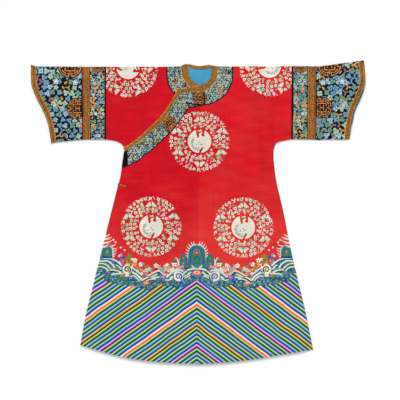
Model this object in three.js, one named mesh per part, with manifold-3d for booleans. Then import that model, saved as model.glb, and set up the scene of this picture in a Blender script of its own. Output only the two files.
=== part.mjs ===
// A Manchu woman's robe of kesi (silk tapestry), laid flat and face up with its sleeves spread.
// Millimetres. X runs from the wearer's right cuff to the left cuff, Y from hem to neck, Z up.
// The robe is cut in one length from front hem over the shoulder to back hem, so every panel is
// a sheet folded along the shoulder line: its back half lies on the ground, its front half on it.
// The left front laps over the right front and closes along the wearer's right side.

import * as THREE from 'three';
import { mergeVertices } from 'three/addons/utils/BufferGeometryUtils.js';
import Module from 'manifold-3d';

const wasm = await Module();
wasm.setup();

// Driving dimensions of the cloth.
const WALL = 1.2;            // silk face and lining together
const SEAM_GAP = 0.3;        // between two pieces that are sewn together
const LAYER_STEP = WALL + SEAM_GAP;  // one panel lying on another
const FOLD_RADIUS = 2.0;     // outside radius of the shoulder fold
const FOLD_SEGMENTS = 4;
const PUFF = 2.4;            // how far the front stands clear of the back in mid panel
const SEAM_REACH = 70;       // width of the strip in which the front sinks to its side seam
const SHOULDER_REACH = 110;  // distance below the fold over which the puff and waves set in
const OVERLAP_FLAT_TO = 20;  // X up to which the outer front lies one layer up
const OVERLAP_ENDS = 160;    // X where it has come down to the single layer

// Overall size.
const HALF_SPAN = 768;       // centre front to either cuff
const SHOULDER_Y = 668;
const FAR = 900;             // beyond any edge of the robe

// The shoulder fold from cuff to cuff; the back neckline stands up a little on both sides.
const FOLD_LINE = [
  { x: -768, y: 676 }, { x: -740, y: 670 }, { x: -560, y: 668 }, { x: -120, y: 668 },
  { x: -80, y: 671 }, { x: -60, y: 680 }, { x: -40, y: 680 }, { x: 0, y: 671 },
  { x: 20, y: 672 }, { x: 50, y: 677 }, { x: 80, y: 671 }, { x: 120, y: 669 },
  { x: 400, y: 671 }, { x: 560, y: 670 }, { x: 762, y: 697 },
];

// Cuff edges, from the fold to the sleeve seam. Both flare towards the hand at the top.
const RIGHT_CUFF_EDGE = [
  { x: -768, y: 676 }, { x: -767, y: 603 }, { x: -762, y: 572 }, { x: -742, y: 522 },
  { x: -721, y: 483 }, { x: -702, y: 442 }, { x: -689, y: 402 }, { x: -682, y: 365 },
  { x: -675, y: 315 },
];
const LEFT_CUFF_EDGE = [
  { x: 762, y: 697 }, { x: 768, y: 632 }, { x: 767, y: 589 }, { x: 761, y: 566 },
  { x: 750, y: 538 }, { x: 737, y: 507 }, { x: 725, y: 483 }, { x: 715, y: 455 },
  { x: 710, y: 432 }, { x: 704, y: 400 }, { x: 700, y: 363 }, { x: 697, y: 336 },
];

// Sewn edges from cuff to hem: sleeve seam, underarm curve, side seam.
const RIGHT_SIDE = [
  { x: -675, y: 315 }, { x: -651, y: 321 }, { x: -528, y: 333 }, { x: -422, y: 333 },
  { x: -383, y: 327 }, { x: -356, y: 316 }, { x: -343, y: 303 }, { x: -339, y: 285 },
  { x: -347, y: 235 }, { x: -356, y: 165 }, { x: -373, y: 100 }, { x: -420, y: -88 },
  { x: -478, y: -322 }, { x: -515, y: -470 }, { x: -541, y: -612 },
];
const LEFT_SIDE = [
  { x: 697, y: 336 }, { x: 675, y: 333 }, { x: 426, y: 334 }, { x: 371, y: 322 },
  { x: 354, y: 308 }, { x: 347, y: 285 }, { x: 347, y: 240 }, { x: 360, y: 138 },
  { x: 386, y: 28 }, { x: 411, y: -95 }, { x: 438, y: -225 }, { x: 492, y: -450 },
  { x: 529, y: -632 },
];
const HEM = [
  { x: -541, y: -612 }, { x: -478, y: -630 }, { x: -361, y: -662 }, { x: -221, y: -685 },
  { x: -5, y: -697 }, { x: 193, y: -685 }, { x: 377, y: -657 }, { x: 529, y: -632 },
];

// Seams across the sleeves, by their X at the fold and at the sleeve seam.
const SLEEVE_SEAMS = {
  right: { cuff: { top: -532, low: -528 }, trim: { top: -502, low: -497 }, body: { top: -422, low: -422 } },
  left: { cuff: { top: 541, low: 539 }, trim: { top: 508, low: 505 }, body: { top: 432, low: 428 } },
};
const CUFF_TRIM_WIDTH = 24;
const CENTRE_SEAM = 2;       // X of the centre-front and centre-back seams
const UNDERLAP_EDGE = 12;    // X of the free edge of the right front, under the left one
const NECK_SEAM = 12;        // X where the two halves of the neck binding join

// The neck opening lies wholly in front of the shoulder fold.
const NECK_OPENING = [
  { x: -45, y: 668 }, { x: -28, y: 662 }, { x: -5, y: 656 }, { x: 28, y: 657 },
  { x: 55, y: 665 }, { x: 62, y: 653 }, { x: 59, y: 621 }, { x: 46, y: 600 },
  { x: 30, y: 590 }, { x: 12, y: 583 }, { x: -12, y: 593 }, { x: -31, y: 609 },
  { x: -42, y: 635 },
];
// Outer edges of the neck binding and of the neckband, in front and behind.
const BINDING_FRONT = [
  { x: -78, y: FAR }, { x: -78, y: 644 }, { x: -74, y: 621 }, { x: -64, y: 604 },
  { x: -46, y: 583 }, { x: -30, y: 568 }, { x: -5, y: 555 }, { x: 17, y: 552 },
  { x: 46, y: 564 }, { x: 67, y: 583 }, { x: 86, y: 607 }, { x: 93, y: 635 },
  { x: 94, y: 655 }, { x: 94, y: FAR },
];
const BINDING_BACK = [
  { x: -78, y: FAR }, { x: -78, y: 666 }, { x: -60, y: 655 }, { x: 0, y: 650 },
  { x: 70, y: 655 }, { x: 94, y: 666 }, { x: 94, y: FAR },
];
const NECKBAND_BACK = [
  { x: -146, y: FAR }, { x: -146, y: 664 }, { x: -138, y: 635 }, { x: -110, y: 607 },
  { x: -60, y: 592 }, { x: 10, y: 588 }, { x: 75, y: 592 }, { x: 125, y: 607 },
  { x: 155, y: 635 }, { x: 163, y: 664 }, { x: 163, y: FAR },
];
const RIGHT_NECKBAND_FRONT = [
  { x: -146, y: FAR }, { x: -146, y: 650 }, { x: -145, y: 616 }, { x: -136, y: 580 }, { x: -109, y: 543 },
  { x: -80, y: 515 }, { x: -40, y: 497 }, { x: 30, y: 487 }, { x: 30, y: FAR },
];
const LEFT_NECKBAND_EDGE = [
  { x: 163, y: FAR }, { x: 163, y: 655 }, { x: 160, y: 607 }, { x: 152, y: 580 }, { x: 131, y: 543 },
  { x: 101, y: 517 }, { x: 60, y: 496 }, { x: 17, y: 488 }, { x: -44, y: 475 },
];
// The closing edge, from the notch under the neck to the side seam.
const LAPEL_BAND_EDGE = [
  { x: -44, y: 475 }, { x: -77, y: 427 }, { x: -117, y: 374 }, { x: -167, y: 324 },
  { x: -220, y: 277 }, { x: -283, y: 229 }, { x: -347, y: 202 }, { x: -420, y: 172 },
];
const LAPEL_TRIM_UPPER = [
  { x: 12, y: 583 }, { x: -14, y: 575 }, { x: -46, y: 571 }, { x: -99, y: 561 },
  { x: -104, y: 543 }, { x: -141, y: 480 }, { x: -178, y: 432 }, { x: -231, y: 380 },
  { x: -283, y: 334 }, { x: -336, y: 298 }, { x: -420, y: 241 },
];
const LAPEL_TRIM_LOWER = [
  { x: 17, y: 552 }, { x: -46, y: 549 }, { x: -72, y: 548 }, { x: -98, y: 522 },
  { x: -130, y: 464 }, { x: -167, y: 411 }, { x: -215, y: 369 }, { x: -273, y: 321 },
  { x: -336, y: 279 }, { x: -420, y: 223 },
];
const LAPEL_END_TOP = { x: -325, y: 300 };
const LAPEL_END_LOW = { x: -320, y: 180 };

// Soft waves of the front, along a line from (x1, y1) to (x2, y2).
const WAVES = [
  { x1: -190, y1: -120, x2: -262, y2: -650, width: 62, height: 1.8 },
  { x1: -70, y1: -240, x2: -96, y2: -690, width: 58, height: -1.3 },
  { x1: 85, y1: -180, x2: 122, y2: -680, width: 64, height: 1.9 },
  { x1: 240, y1: -290, x2: 306, y2: -640, width: 58, height: 1.3 },
  { x1: -400, y1: -300, x2: -440, y2: -620, width: 60, height: 1.2 },
  { x1: -300, y1: 290, x2: -170, y2: 440, width: 55, height: 1.5 },
  { x1: 310, y1: 300, x2: 180, y2: 450, width: 55, height: 1.7 },
  { x1: 120, y1: 40, x2: 300, y2: -50, width: 60, height: -1.4 },
  { x1: -250, y1: 70, x2: -60, y2: 20, width: 65, height: 1.0 },
  { x1: 640, y1: 420, x2: 700, y2: 620, width: 50, height: 1.2 },
  { x1: -640, y1: 400, x2: -700, y2: 600, width: 50, height: 1.1 },
];

// Grid of the folded sheets: columns across, rows by their distance below the fold.
const COLUMN_STEP = 40;
const NECK_COLUMN_STEP = 20;
const NECK_HALF = 100;
const ROW_STEP = 60;
const ROWS_NEAR_FOLD = [FOLD_RADIUS, 30];
const LAST_ROW = 1440;
const PAST_CUFF = 10;        // how far the uncut sheet runs on past either cuff
const FOLD_FADE = 150;       // distance over which rows lose the fold's ups and downs

// Round stretches of an outline run as a smooth curve through the points of their table.
const CURVE_PARTS = 2;
function curved(line, parts = CURVE_PARTS) {
  const points = line.map(({ x, y }) => new THREE.Vector2(x, y));
  return new THREE.SplineCurve(points).getPoints((line.length - 1) * parts);
}
// The same with a sharp corner at each of the given rows.
function curvedWithCorners(line, ...corners) {
  const ends = [0, ...corners, line.length - 1];
  const points = [];
  for (let i = 1; i < ends.length; i += 1) {
    points.push(...curved(line.slice(ends[i - 1], ends[i] + 1)).slice(i > 1 ? 1 : 0));
  }
  return points;
}
// A line whose two ends lie beyond the robe, straight there and curved between.
const curvedInside = (line) => curvedWithCorners(line, 1, line.length - 2);

const rightCuffEdge = curved(RIGHT_CUFF_EDGE);
const leftCuffEdge = curved(LEFT_CUFF_EDGE);
const rightSide = curvedWithCorners(RIGHT_SIDE, 2, 3, 7);
const leftSide = curvedWithCorners(LEFT_SIDE, 1, 2, 5);
const hem = curved(HEM, 3);
const neckOpening = curvedWithCorners([...NECK_OPENING, NECK_OPENING[0]], 4, 9).slice(0, -1);
const bindingFront = curvedInside(BINDING_FRONT);
const bindingBack = curvedInside(BINDING_BACK);
const neckbandBack = curvedInside(NECKBAND_BACK);
const rightNeckbandFront = curvedInside(RIGHT_NECKBAND_FRONT);
const leftNeckbandEdge = curvedWithCorners(LEFT_NECKBAND_EDGE, 1);
const lapelBandEdge = curved(LAPEL_BAND_EDGE);
const lapelTrimUpper = curvedWithCorners(LAPEL_TRIM_UPPER, 3);
const lapelTrimLower = curvedWithCorners(LAPEL_TRIM_LOWER, 2);

const smooth = (share) => {
  const t = Math.min(Math.max(share, 0), 1);
  return t * t * (3 - 2 * t);
};

// Y of the fold above a given X.
function foldY(x) {
  const last = FOLD_LINE.length - 1;
  let i = 0;
  while (i < last - 1 && x > FOLD_LINE[i + 1].x) {
    i += 1;
  }
  const a = FOLD_LINE[i];
  const b = FOLD_LINE[i + 1];
  return a.y + ((b.y - a.y) * (x - a.x)) / (b.x - a.x);
}

function distanceToSegment(x, y, a, b) {
  const length2 = (b.x - a.x) ** 2 + (b.y - a.y) ** 2;
  const along = ((x - a.x) * (b.x - a.x) + (y - a.y) * (b.y - a.y)) / length2;
  const t = Math.min(Math.max(along, 0), 1);
  return Math.hypot(x - a.x - t * (b.x - a.x), y - a.y - t * (b.y - a.y));
}

function distanceToLine(x, y, line) {
  let least = Infinity;
  for (let i = 1; i < line.length; i += 1) {
    least = Math.min(least, distanceToSegment(x, y, line[i - 1], line[i]));
  }
  return least;
}

// A ridge or trough of the given width that fades out towards both ends of its line.
function wave(x, y, { x1, y1, x2, y2, width, height }) {
  const length = Math.hypot(x2 - x1, y2 - y1);
  const along = ((x - x1) * (x2 - x1) + (y - y1) * (y2 - y1)) / length;
  const across = ((x - x1) * (y2 - y1) - (y - y1) * (x2 - x1)) / length;
  const ends = smooth(along / width + 0.5) * smooth((length - along) / width + 0.5);
  return height * ends * Math.exp(-((across / width) ** 2) * 2);
}

// Height of the lower face of the right front, or of any single front layer.
function frontHeight(x, y, below) {
  const seam = Math.min(distanceToLine(x, y, RIGHT_SIDE), distanceToLine(x, y, LEFT_SIDE));
  const free = smooth(seam / SEAM_REACH);
  const open = smooth((below - FOLD_RADIUS) / SHOULDER_REACH);
  const atFold = 2 * FOLD_RADIUS - WALL;
  const atSeam = WALL + SEAM_GAP;
  let soft = PUFF * free;
  for (const row of WAVES) {
    soft += wave(x, y, row) * free;
  }
  return atSeam + (atFold - atSeam) * Math.max(free, 1 - open) + soft * open;
}

// The outer front lies one layer higher than the right front that it covers.
function overlapStep(x, below) {
  const share = smooth((x - OVERLAP_FLAT_TO) / (OVERLAP_ENDS - OVERLAP_FLAT_TO));
  return LAYER_STEP * (1 - share) * smooth((below - FOLD_RADIUS) / (ROW_STEP - FOLD_RADIUS));
}

function columns() {
  const xs = [];
  for (let x = -NECK_HALF; x <= NECK_HALF; x += NECK_COLUMN_STEP) {
    xs.push(x);
  }
  for (let x = NECK_HALF + COLUMN_STEP; x < HALF_SPAN + PAST_CUFF; x += COLUMN_STEP) {
    xs.push(x, -x);
  }
  xs.push(HALF_SPAN + PAST_CUFF, -HALF_SPAN - PAST_CUFF);
  return xs.sort((a, b) => a - b);
}

function frontRows() {
  const below = [...ROWS_NEAR_FOLD];
  for (let s = ROW_STEP; s <= LAST_ROW; s += ROW_STEP) {
    below.push(s);
  }
  return below;
}

function rowY(x, below) {
  const share = Math.max(0, 1 - below / FOLD_FADE);
  return SHOULDER_Y + (foldY(x) - SHOULDER_Y) * share - below;
}

// One section of a folded sheet: pairs of points on its outside and inside, from the back hem
// round the fold to the front hem.
function section(x, isOuter) {
  const pairs = [];
  for (const s of [LAST_ROW, FOLD_RADIUS]) {
    pairs.push({ out: [rowY(x, s), 0], in: [rowY(x, s), WALL] });
  }
  const centre = foldY(x) - FOLD_RADIUS;
  for (let i = 1; i < FOLD_SEGMENTS; i += 1) {
    const turn = -Math.PI / 2 + (Math.PI * i) / FOLD_SEGMENTS;
    const at = (r) => [centre + r * Math.cos(turn), FOLD_RADIUS + r * Math.sin(turn)];
    pairs.push({ out: at(FOLD_RADIUS), in: at(FOLD_RADIUS - WALL) });
  }
  for (const s of frontRows()) {
    const y = rowY(x, s);
    const z = frontHeight(x, y, s) + (isOuter ? overlapStep(x, s) : 0);
    pairs.push({ out: [y, z + WALL], in: [y, z] });
  }
  return pairs;
}

// The whole folded sheet, cuff to cuff, as one closed body.
function foldedSheet(isOuter) {
  const xs = columns();
  const sections = xs.map((x) => section(x, isOuter));
  const count = sections[0].length;
  const points = [];
  xs.forEach((x, i) => {
    for (const pair of sections[i]) {
      points.push(x, ...pair.out, x, ...pair.in);
    }
  });
  const faces = [];
  const out = (i, k) => 2 * (i * count + k);
  const inner = (i, k) => out(i, k) + 1;
  const quad = (a, b, c, d) => faces.push(a, b, c, a, c, d);
  for (let i = 0; i + 1 < xs.length; i += 1) {
    for (let k = 0; k + 1 < count; k += 1) {
      quad(out(i, k), out(i, k + 1), out(i + 1, k + 1), out(i + 1, k));
      faces.push(inner(i, k), inner(i + 1, k + 1), inner(i, k + 1));
      faces.push(inner(i, k), inner(i + 1, k), inner(i + 1, k + 1));
    }
    const end = count - 1;
    quad(out(i, 0), out(i + 1, 0), inner(i + 1, 0), inner(i, 0));
    quad(out(i, end), inner(i, end), inner(i + 1, end), out(i + 1, end));
  }
  const last = xs.length - 1;
  for (let k = 0; k + 1 < count; k += 1) {
    quad(out(0, k), inner(0, k), inner(0, k + 1), out(0, k + 1));
    quad(out(last, k), out(last, k + 1), inner(last, k + 1), inner(last, k));
  }
  return new wasm.Manifold(new wasm.Mesh({
    numProp: 3,
    vertProperties: new Float32Array(points),
    triVerts: new Uint32Array(faces),
  }));
}

function solidOf(geometry) {
  geometry.deleteAttribute('normal');
  geometry.deleteAttribute('uv');
  const merged = mergeVertices(geometry, 1e-4);
  return new wasm.Manifold(new wasm.Mesh({
    numProp: 3,
    vertProperties: new Float32Array(merged.attributes.position.array),
    triVerts: new Uint32Array(merged.index.array),
  }));
}

function geometryOf(solid) {
  const { vertProperties, triVerts } = solid.getMesh();
  const geometry = new THREE.BufferGeometry();
  geometry.setAttribute('position', new THREE.BufferAttribute(new Float32Array(vertProperties), 3));
  geometry.setIndex(new THREE.BufferAttribute(new Uint32Array(triVerts), 1));
  geometry.computeVertexNormals();
  return geometry;
}

// Moves every corner of a closed outline inwards by the given distance, or outwards if negative.
function inset(outline, distance) {
  const turn = THREE.ShapeUtils.area(outline) > 0 ? 1 : -1;
  const count = outline.length;
  return outline.map((point, i) => {
    const before = outline[(i + count - 1) % count];
    const after = outline[(i + 1) % count];
    const first = Math.hypot(point.x - before.x, point.y - before.y);
    const second = Math.hypot(after.x - point.x, after.y - point.y);
    const nx = -(point.y - before.y) / first - (after.y - point.y) / second;
    const ny = (point.x - before.x) / first + (after.x - point.x) / second;
    const reach = (2 * distance * turn) / (nx * nx + ny * ny);
    return { x: point.x + nx * reach, y: point.y + ny * reach };
  });
}

// The same for an open line, whose ends move square to their own stretch.
function shifted(line, distance) {
  return line.map((point, i) => {
    const before = line[Math.max(i - 1, 0)];
    const after = line[Math.min(i + 1, line.length - 1)];
    const length = Math.hypot(after.x - before.x, after.y - before.y);
    const nx = -(after.y - before.y) / length;
    const ny = (after.x - before.x) / length;
    return { x: point.x + nx * distance, y: point.y + ny * distance };
  });
}

function prism(outline, low, high) {
  const shape = new THREE.Shape(outline.map(({ x, y }) => new THREE.Vector2(x, y)));
  const geometry = new THREE.ExtrudeGeometry(shape, { depth: high - low, bevelEnabled: false });
  geometry.translate(0, 0, low);
  return solidOf(geometry);
}

// Space over (front) or under (back) the middle of the fold, inside some outlines and outside
// others. Where two pieces meet, each keeps half the seam gap.
const MID_FOLD = FOLD_RADIUS;
const FOLD_LAP = 0.02;       // front and back space share this much, so that a fold stays whole
const BELOW_ALL = -20;
const ABOVE_ALL = 60;
function space(low, high, inside, outside) {
  let room = prism(inset(inside[0], SEAM_GAP / 2), low, high);
  for (const outline of inside.slice(1)) {
    room = room.intersect(prism(inset(outline, SEAM_GAP / 2), low, high));
  }
  for (const outline of outside) {
    room = room.subtract(prism(inset(outline, -SEAM_GAP / 2), low, high));
  }
  return room;
}
const frontSpace = (inside, outside = []) => space(MID_FOLD - FOLD_LAP, ABOVE_ALL, inside, outside);
const backSpace = (inside, outside = []) => space(BELOW_ALL, MID_FOLD + FOLD_LAP, inside, outside);
const bothSpaces = (inside, outside = []) => space(BELOW_ALL, ABOVE_ALL, inside, outside);

// Outlines used by several pieces.
const robeOutline = [
  { x: RIGHT_CUFF_EDGE[0].x, y: FAR }, ...rightCuffEdge, ...rightSide.slice(1), ...hem.slice(1),
  ...[...leftSide].reverse().slice(1), ...[...leftCuffEdge].reverse().slice(1),
  { x: LEFT_CUFF_EDGE[0].x, y: FAR },
];
const robePrism = prism(robeOutline, BELOW_ALL, ABOVE_ALL);
const singleSheet = foldedSheet(false).intersect(robePrism);
const outerSheet = foldedSheet(true).intersect(robePrism);

const SLEEVE_LOW = 290;      // Y below every sleeve seam
const seamLine = ({ top, low }) => [{ x: top, y: FAR }, { x: low, y: SLEEVE_LOW }];
const between = (a, b) => [...a, ...[...b].reverse()];
const box = (x1, y1, x2, y2) => [{ x: x1, y: y1 }, { x: x2, y: y1 }, { x: x2, y: y2 }, { x: x1, y: y2 }];

// The line along a cuff at the inner edge of its gold trim, run on past the fold and the seam.
function trimLine(edge, side) {
  const inner = shifted(edge, side * CUFF_TRIM_WIDTH);
  const first = inner[0];
  const last = inner[inner.length - 1];
  return [{ x: first.x, y: FAR }, ...inner, { x: last.x, y: SLEEVE_LOW }];
}

const leftNeckbandFront = [
  ...leftNeckbandEdge, ...lapelBandEdge.slice(1), ...[...lapelTrimUpper].reverse(),
  { x: NECK_SEAM, y: FAR },
];
// Above the notch the left front ends at its neckband, so nothing of it lies nearer the middle.
const neckArea = box(-FAR, 500, NECK_SEAM + 4, FAR);
const lapelTrimOutline = between(lapelTrimUpper, lapelTrimLower);
const neckSeamRight = box(NECK_SEAM, 0, FAR, FAR);
const neckSeamLeft = box(-FAR, 0, NECK_SEAM, FAR);
const belowLapel = [
  ...lapelTrimUpper, { x: -FAR, y: 241 }, { x: -FAR, y: -FAR }, { x: NECK_SEAM, y: -FAR },
];
const rightBody = [
  { x: SLEEVE_SEAMS.right.body.top, y: FAR }, { x: SLEEVE_SEAMS.right.body.low, y: SLEEVE_LOW },
  { x: -FAR, y: SLEEVE_LOW }, { x: -FAR, y: -FAR },
];
const leftBody = [
  { x: SLEEVE_SEAMS.left.body.top, y: FAR }, { x: SLEEVE_SEAMS.left.body.low, y: SLEEVE_LOW },
  { x: FAR, y: SLEEVE_LOW }, { x: FAR, y: -FAR },
];
const upTo = (body, x) => [...body, { x, y: -FAR }, { x, y: FAR }];

// The gold neck binding follows the opening; its left half starts where the lapel trim ends.
const leftBindingFront = [
  ...bindingFront.slice(bindingFront.findIndex(({ x }) => x >= 17)),
  { x: NECK_SEAM, y: FAR }, { x: NECK_SEAM, y: 583 },
];
// From the notch under the neck the band runs on as the lapel band.
const notchSeam = [{ x: -44, y: 475 }, { x: -72, y: 548 }];
const BAND_LOW = 100;        // Y below the whole lapel band
const neckSide = [
  ...notchSeam, { x: -72, y: FAR }, { x: FAR, y: FAR }, { x: FAR, y: BAND_LOW }, { x: -44, y: BAND_LOW },
];
const lapelEnd = [
  LAPEL_END_TOP, { x: -FAR, y: LAPEL_END_TOP.y }, { x: -FAR, y: BAND_LOW },
  { x: LAPEL_END_LOW.x, y: BAND_LOW }, LAPEL_END_LOW,
];

const pieces = {
  body_left: () => outerSheet.intersect(
    frontSpace([upTo(leftBody, CENTRE_SEAM)], [leftNeckbandFront, neckArea])
      .add(backSpace([upTo(leftBody, CENTRE_SEAM)], [neckbandBack]))),
  body_right: () => singleSheet.intersect(
    frontSpace([upTo(rightBody, UNDERLAP_EDGE)], [rightNeckbandFront])
      .add(backSpace([upTo(rightBody, CENTRE_SEAM)], [neckbandBack]))),
  overlap_front: () => outerSheet.intersect(
    frontSpace([box(-FAR, -FAR, CENTRE_SEAM, FAR), belowLapel], [leftNeckbandFront])),
  neckband_left: () => outerSheet.intersect(
    frontSpace([leftNeckbandFront, neckSide], [lapelTrimOutline, leftBindingFront])
      .add(backSpace([neckbandBack, box(CENTRE_SEAM, 0, FAR, FAR)], [bindingBack]))),
  neckband_right: () => singleSheet.intersect(
    frontSpace([rightNeckbandFront, box(-FAR, 0, UNDERLAP_EDGE, FAR)], [bindingFront])
      .add(backSpace([neckbandBack, box(-FAR, 0, CENTRE_SEAM, FAR)], [bindingBack]))),
  lapel_band: () => outerSheet.intersect(
    frontSpace([leftNeckbandFront], [lapelTrimOutline, neckSide, lapelEnd])),
  lapel_end: () => outerSheet.intersect(
    frontSpace([leftNeckbandFront, lapelEnd], [lapelTrimOutline])),
  lapel_trim: () => outerSheet.intersect(frontSpace([lapelTrimOutline])),
  neck_binding_left: () => outerSheet.intersect(
    frontSpace([leftBindingFront], [neckOpening])
      .add(backSpace([bindingBack, neckSeamRight]))),
  neck_binding_right: () => singleSheet.intersect(
    frontSpace([bindingFront, neckSeamLeft], [neckOpening])
      .add(backSpace([bindingBack, neckSeamLeft]))),
};
for (const [side, edge, sign] of [['right', rightCuffEdge, 1], ['left', leftCuffEdge, -1]]) {
  const inner = trimLine(edge, sign);
  const seams = SLEEVE_SEAMS[side];
  const beyond = [{ x: -sign * FAR, y: FAR }, { x: -sign * FAR, y: SLEEVE_LOW }];
  const strips = {
    [`sleeve_band_${side}`]: between(seamLine(seams.trim), seamLine(seams.body)),
    [`sleeve_trim_${side}`]: between(seamLine(seams.cuff), seamLine(seams.trim)),
    [`cuff_${side}`]: between(inner, seamLine(seams.cuff)),
    [`cuff_trim_${side}`]: between(beyond, inner),
  };
  for (const [name, outline] of Object.entries(strips)) {
    pieces[name] = () => singleSheet.intersect(bothSpaces([outline]));
  }
}

// The back's blue lining, which shows inside the neck, lies on the back panel.
const LINING_WALL = 1.0;
const LINING_LOW = WALL + SEAM_GAP;
const LINING_MARGIN = 16;     // hidden under the binding all round
const LINING_TOP_XS = [60, 40, 20, 0, -20, -40, -60];
const LINING_TO_FOLD = 6;
pieces.neck_lining = () => {
  const top = LINING_TOP_XS.map((x) => ({ x, y: foldY(x) - LINING_TO_FOLD }));
  const low = shifted([...NECK_OPENING.slice(5)].reverse(), -LINING_MARGIN);
  return prism([...top, ...curved(low)], LINING_LOW, LINING_LOW + LINING_WALL);
};
// The left cuff's lining rolls out past the edge where the cuff curves in.
const LINING_SHOWS = 5;
const LINING_TUCKED = -14;
pieces.cuff_lining_left = () => {
  const edge = curved(LEFT_CUFF_EDGE.slice(3, 10));
  const outer = shifted(edge, LINING_SHOWS).slice(1, -1);
  return prism([edge[0], ...outer, edge[edge.length - 1], ...shifted(edge, LINING_TUCKED).reverse()],
    LINING_LOW, LINING_LOW + LINING_WALL);
};

// Cord loops of the closing edge, each lying on the pieces named in its row, along its route.
const CORD_SIDES = 8;
const CORD_STEPS = 6;
const LOOPS = {
  side_loop: {
    radius: 2.2,
    on: ['overlap_front'],
    route: [
      { x: -370, y: 128 }, { x: -358, y: 125 }, { x: -346, y: 121 },
      { x: -334, y: 117 }, { x: -322, y: 113 },
    ],
  },
  underarm_loop: {
    radius: 1.8,
    on: ['lapel_trim', 'lapel_band', 'lapel_end', 'body_right'],
    route: [
      { x: -318, y: 297 }, { x: -326, y: 297 }, { x: -334, y: 299 },
      { x: -342, y: 302 }, { x: -349, y: 306 },
    ],
  },
  collar_loop: {
    radius: 1.8,
    on: ['neckband_right'],
    route: [
      { x: -99, y: 628 }, { x: -98, y: 612 }, { x: -99, y: 597 },
      { x: -100, y: 582 }, { x: -99, y: 567 },
    ],
  },
};

// Highest point of the given geometries above (x, y), or nothing where they don't reach.
function topAt(x, y, geometries) {
  const ray = new THREE.Raycaster(new THREE.Vector3(x, y, 100), new THREE.Vector3(0, 0, -1));
  const tops = geometries.map((geometry) => ray.intersectObject(new THREE.Mesh(geometry))[0]);
  const heights = tops.filter(Boolean).map((hit) => hit.point.z);
  return heights.length ? Math.max(...heights) : undefined;
}

// A cord lies level where it runs on past the edge of the cloth.
function cord({ radius, on, route }, geometries) {
  const cloth = on.map((name) => geometries[name]);
  const heights = route.map(({ x, y }) => topAt(x, y, cloth));
  const highest = Math.max(...heights.filter((z) => z !== undefined));
  const path = route.map(({ x, y }, i) => (
    new THREE.Vector3(x, y, (heights[i] ?? highest) + SEAM_GAP + radius)
  ));
  const ring = new THREE.Shape();
  ring.absarc(0, 0, radius, 0, 2 * Math.PI);
  return new THREE.ExtrudeGeometry(ring, {
    curveSegments: CORD_SIDES / 2,
    steps: CORD_STEPS,
    extrudePath: new THREE.CatmullRomCurve3(path),
    bevelEnabled: false,
  });
}

// Colours by kind of cloth.
const LOOKS = {
  red_kesi: { color: 0xc81e32, roughness: 0.55 },
  navy_kesi: { color: 0x17233f, roughness: 0.55 },
  gold_brocade: { color: 0xa06f26, roughness: 0.5, metalness: 0.2 },
  plain_navy: { color: 0x0d0f1c, roughness: 0.6 },
  blue_lining: { color: 0x3f95c8, roughness: 0.45 },
  green_cord: { color: 0x5c6b3a, roughness: 0.7 },
  gold_cord: { color: 0xa9772a, roughness: 0.6 },
};
function lookOf(name) {
  if (name.includes('lining')) return 'blue_lining';
  if (name.includes('trim') || name.includes('binding')) return 'gold_brocade';
  if (name === 'lapel_end') return 'plain_navy';
  if (name === 'side_loop') return 'green_cord';
  if (name.includes('loop')) return 'gold_cord';
  return name.startsWith('body') || name === 'overlap_front' ? 'red_kesi' : 'navy_kesi';
}

const geometries = {};
for (const [name, make] of Object.entries(pieces)) {
  geometries[name] = geometryOf(make());
}
for (const [name, loop] of Object.entries(LOOPS)) {
  geometries[name] = geometryOf(solidOf(cord(loop, geometries)));
}

const robe = new THREE.Group();
for (const [name, geometry] of Object.entries(geometries)) {
  const look = lookOf(name);
  const mesh = new THREE.Mesh(geometry, new THREE.MeshStandardMaterial({ name: look, ...LOOKS[look] }));
  mesh.name = name;
  robe.add(mesh);
}
export default robe;
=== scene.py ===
"""Looks of a kesi (silk tapestry) robe, laid flat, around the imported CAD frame.

Tables and lengths are in millimetres: X from the wearer's right cuff to the left cuff, Y from
hem to neck, Z up. A panel with a back is cut in one length from front hem over the shoulder to
back hem. Its unfolded plan has the same X, with V = Y in front and V = 2 * fold - Y behind the
shoulder fold, so a pattern runs on over the fold. The unfolded plan is cut into triangles along
the edges of the woven figures, each triangle takes the thread of the topmost figure over it,
and the sheet is then folded and laid as a thin closed shell.
"""
import math
import random

import bpy
import numpy as np
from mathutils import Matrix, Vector
from mathutils.geometry import delaunay_2d_cdt


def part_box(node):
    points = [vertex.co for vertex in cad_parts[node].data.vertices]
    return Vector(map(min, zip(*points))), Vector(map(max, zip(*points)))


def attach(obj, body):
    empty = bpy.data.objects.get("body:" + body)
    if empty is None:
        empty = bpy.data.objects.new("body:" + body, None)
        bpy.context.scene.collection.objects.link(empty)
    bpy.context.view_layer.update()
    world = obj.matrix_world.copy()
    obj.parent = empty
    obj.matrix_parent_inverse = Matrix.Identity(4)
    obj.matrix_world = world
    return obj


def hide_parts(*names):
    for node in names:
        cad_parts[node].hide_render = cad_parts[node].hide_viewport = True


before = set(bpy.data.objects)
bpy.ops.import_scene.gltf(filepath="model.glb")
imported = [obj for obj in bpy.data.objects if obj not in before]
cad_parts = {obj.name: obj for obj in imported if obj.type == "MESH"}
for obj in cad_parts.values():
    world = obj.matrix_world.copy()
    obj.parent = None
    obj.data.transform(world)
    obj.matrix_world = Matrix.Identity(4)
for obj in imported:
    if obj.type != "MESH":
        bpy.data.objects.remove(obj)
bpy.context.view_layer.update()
MM = 0.001

# ---- Sizes of the cloth, as in the part's source -------------------------------------------
WALL = 1.2
SEAM_GAP = 0.3
LAYER_STEP = WALL + SEAM_GAP
FOLD_RADIUS = 2.0
# How far the front rises over the back, and how far from seams and shoulder it does so.
PUFF = 2.4
SEAM_REACH = 70
SHOULDER_REACH = 110
# X over which the outer front sinks to the layer below, and how far under the fold that starts.
OVERLAP_FLAT_TO = 20
OVERLAP_ENDS = 160
OVERLAP_SETS_IN = 60
SHOULDER_Y = 668
FOLD_FADE = 150
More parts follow.
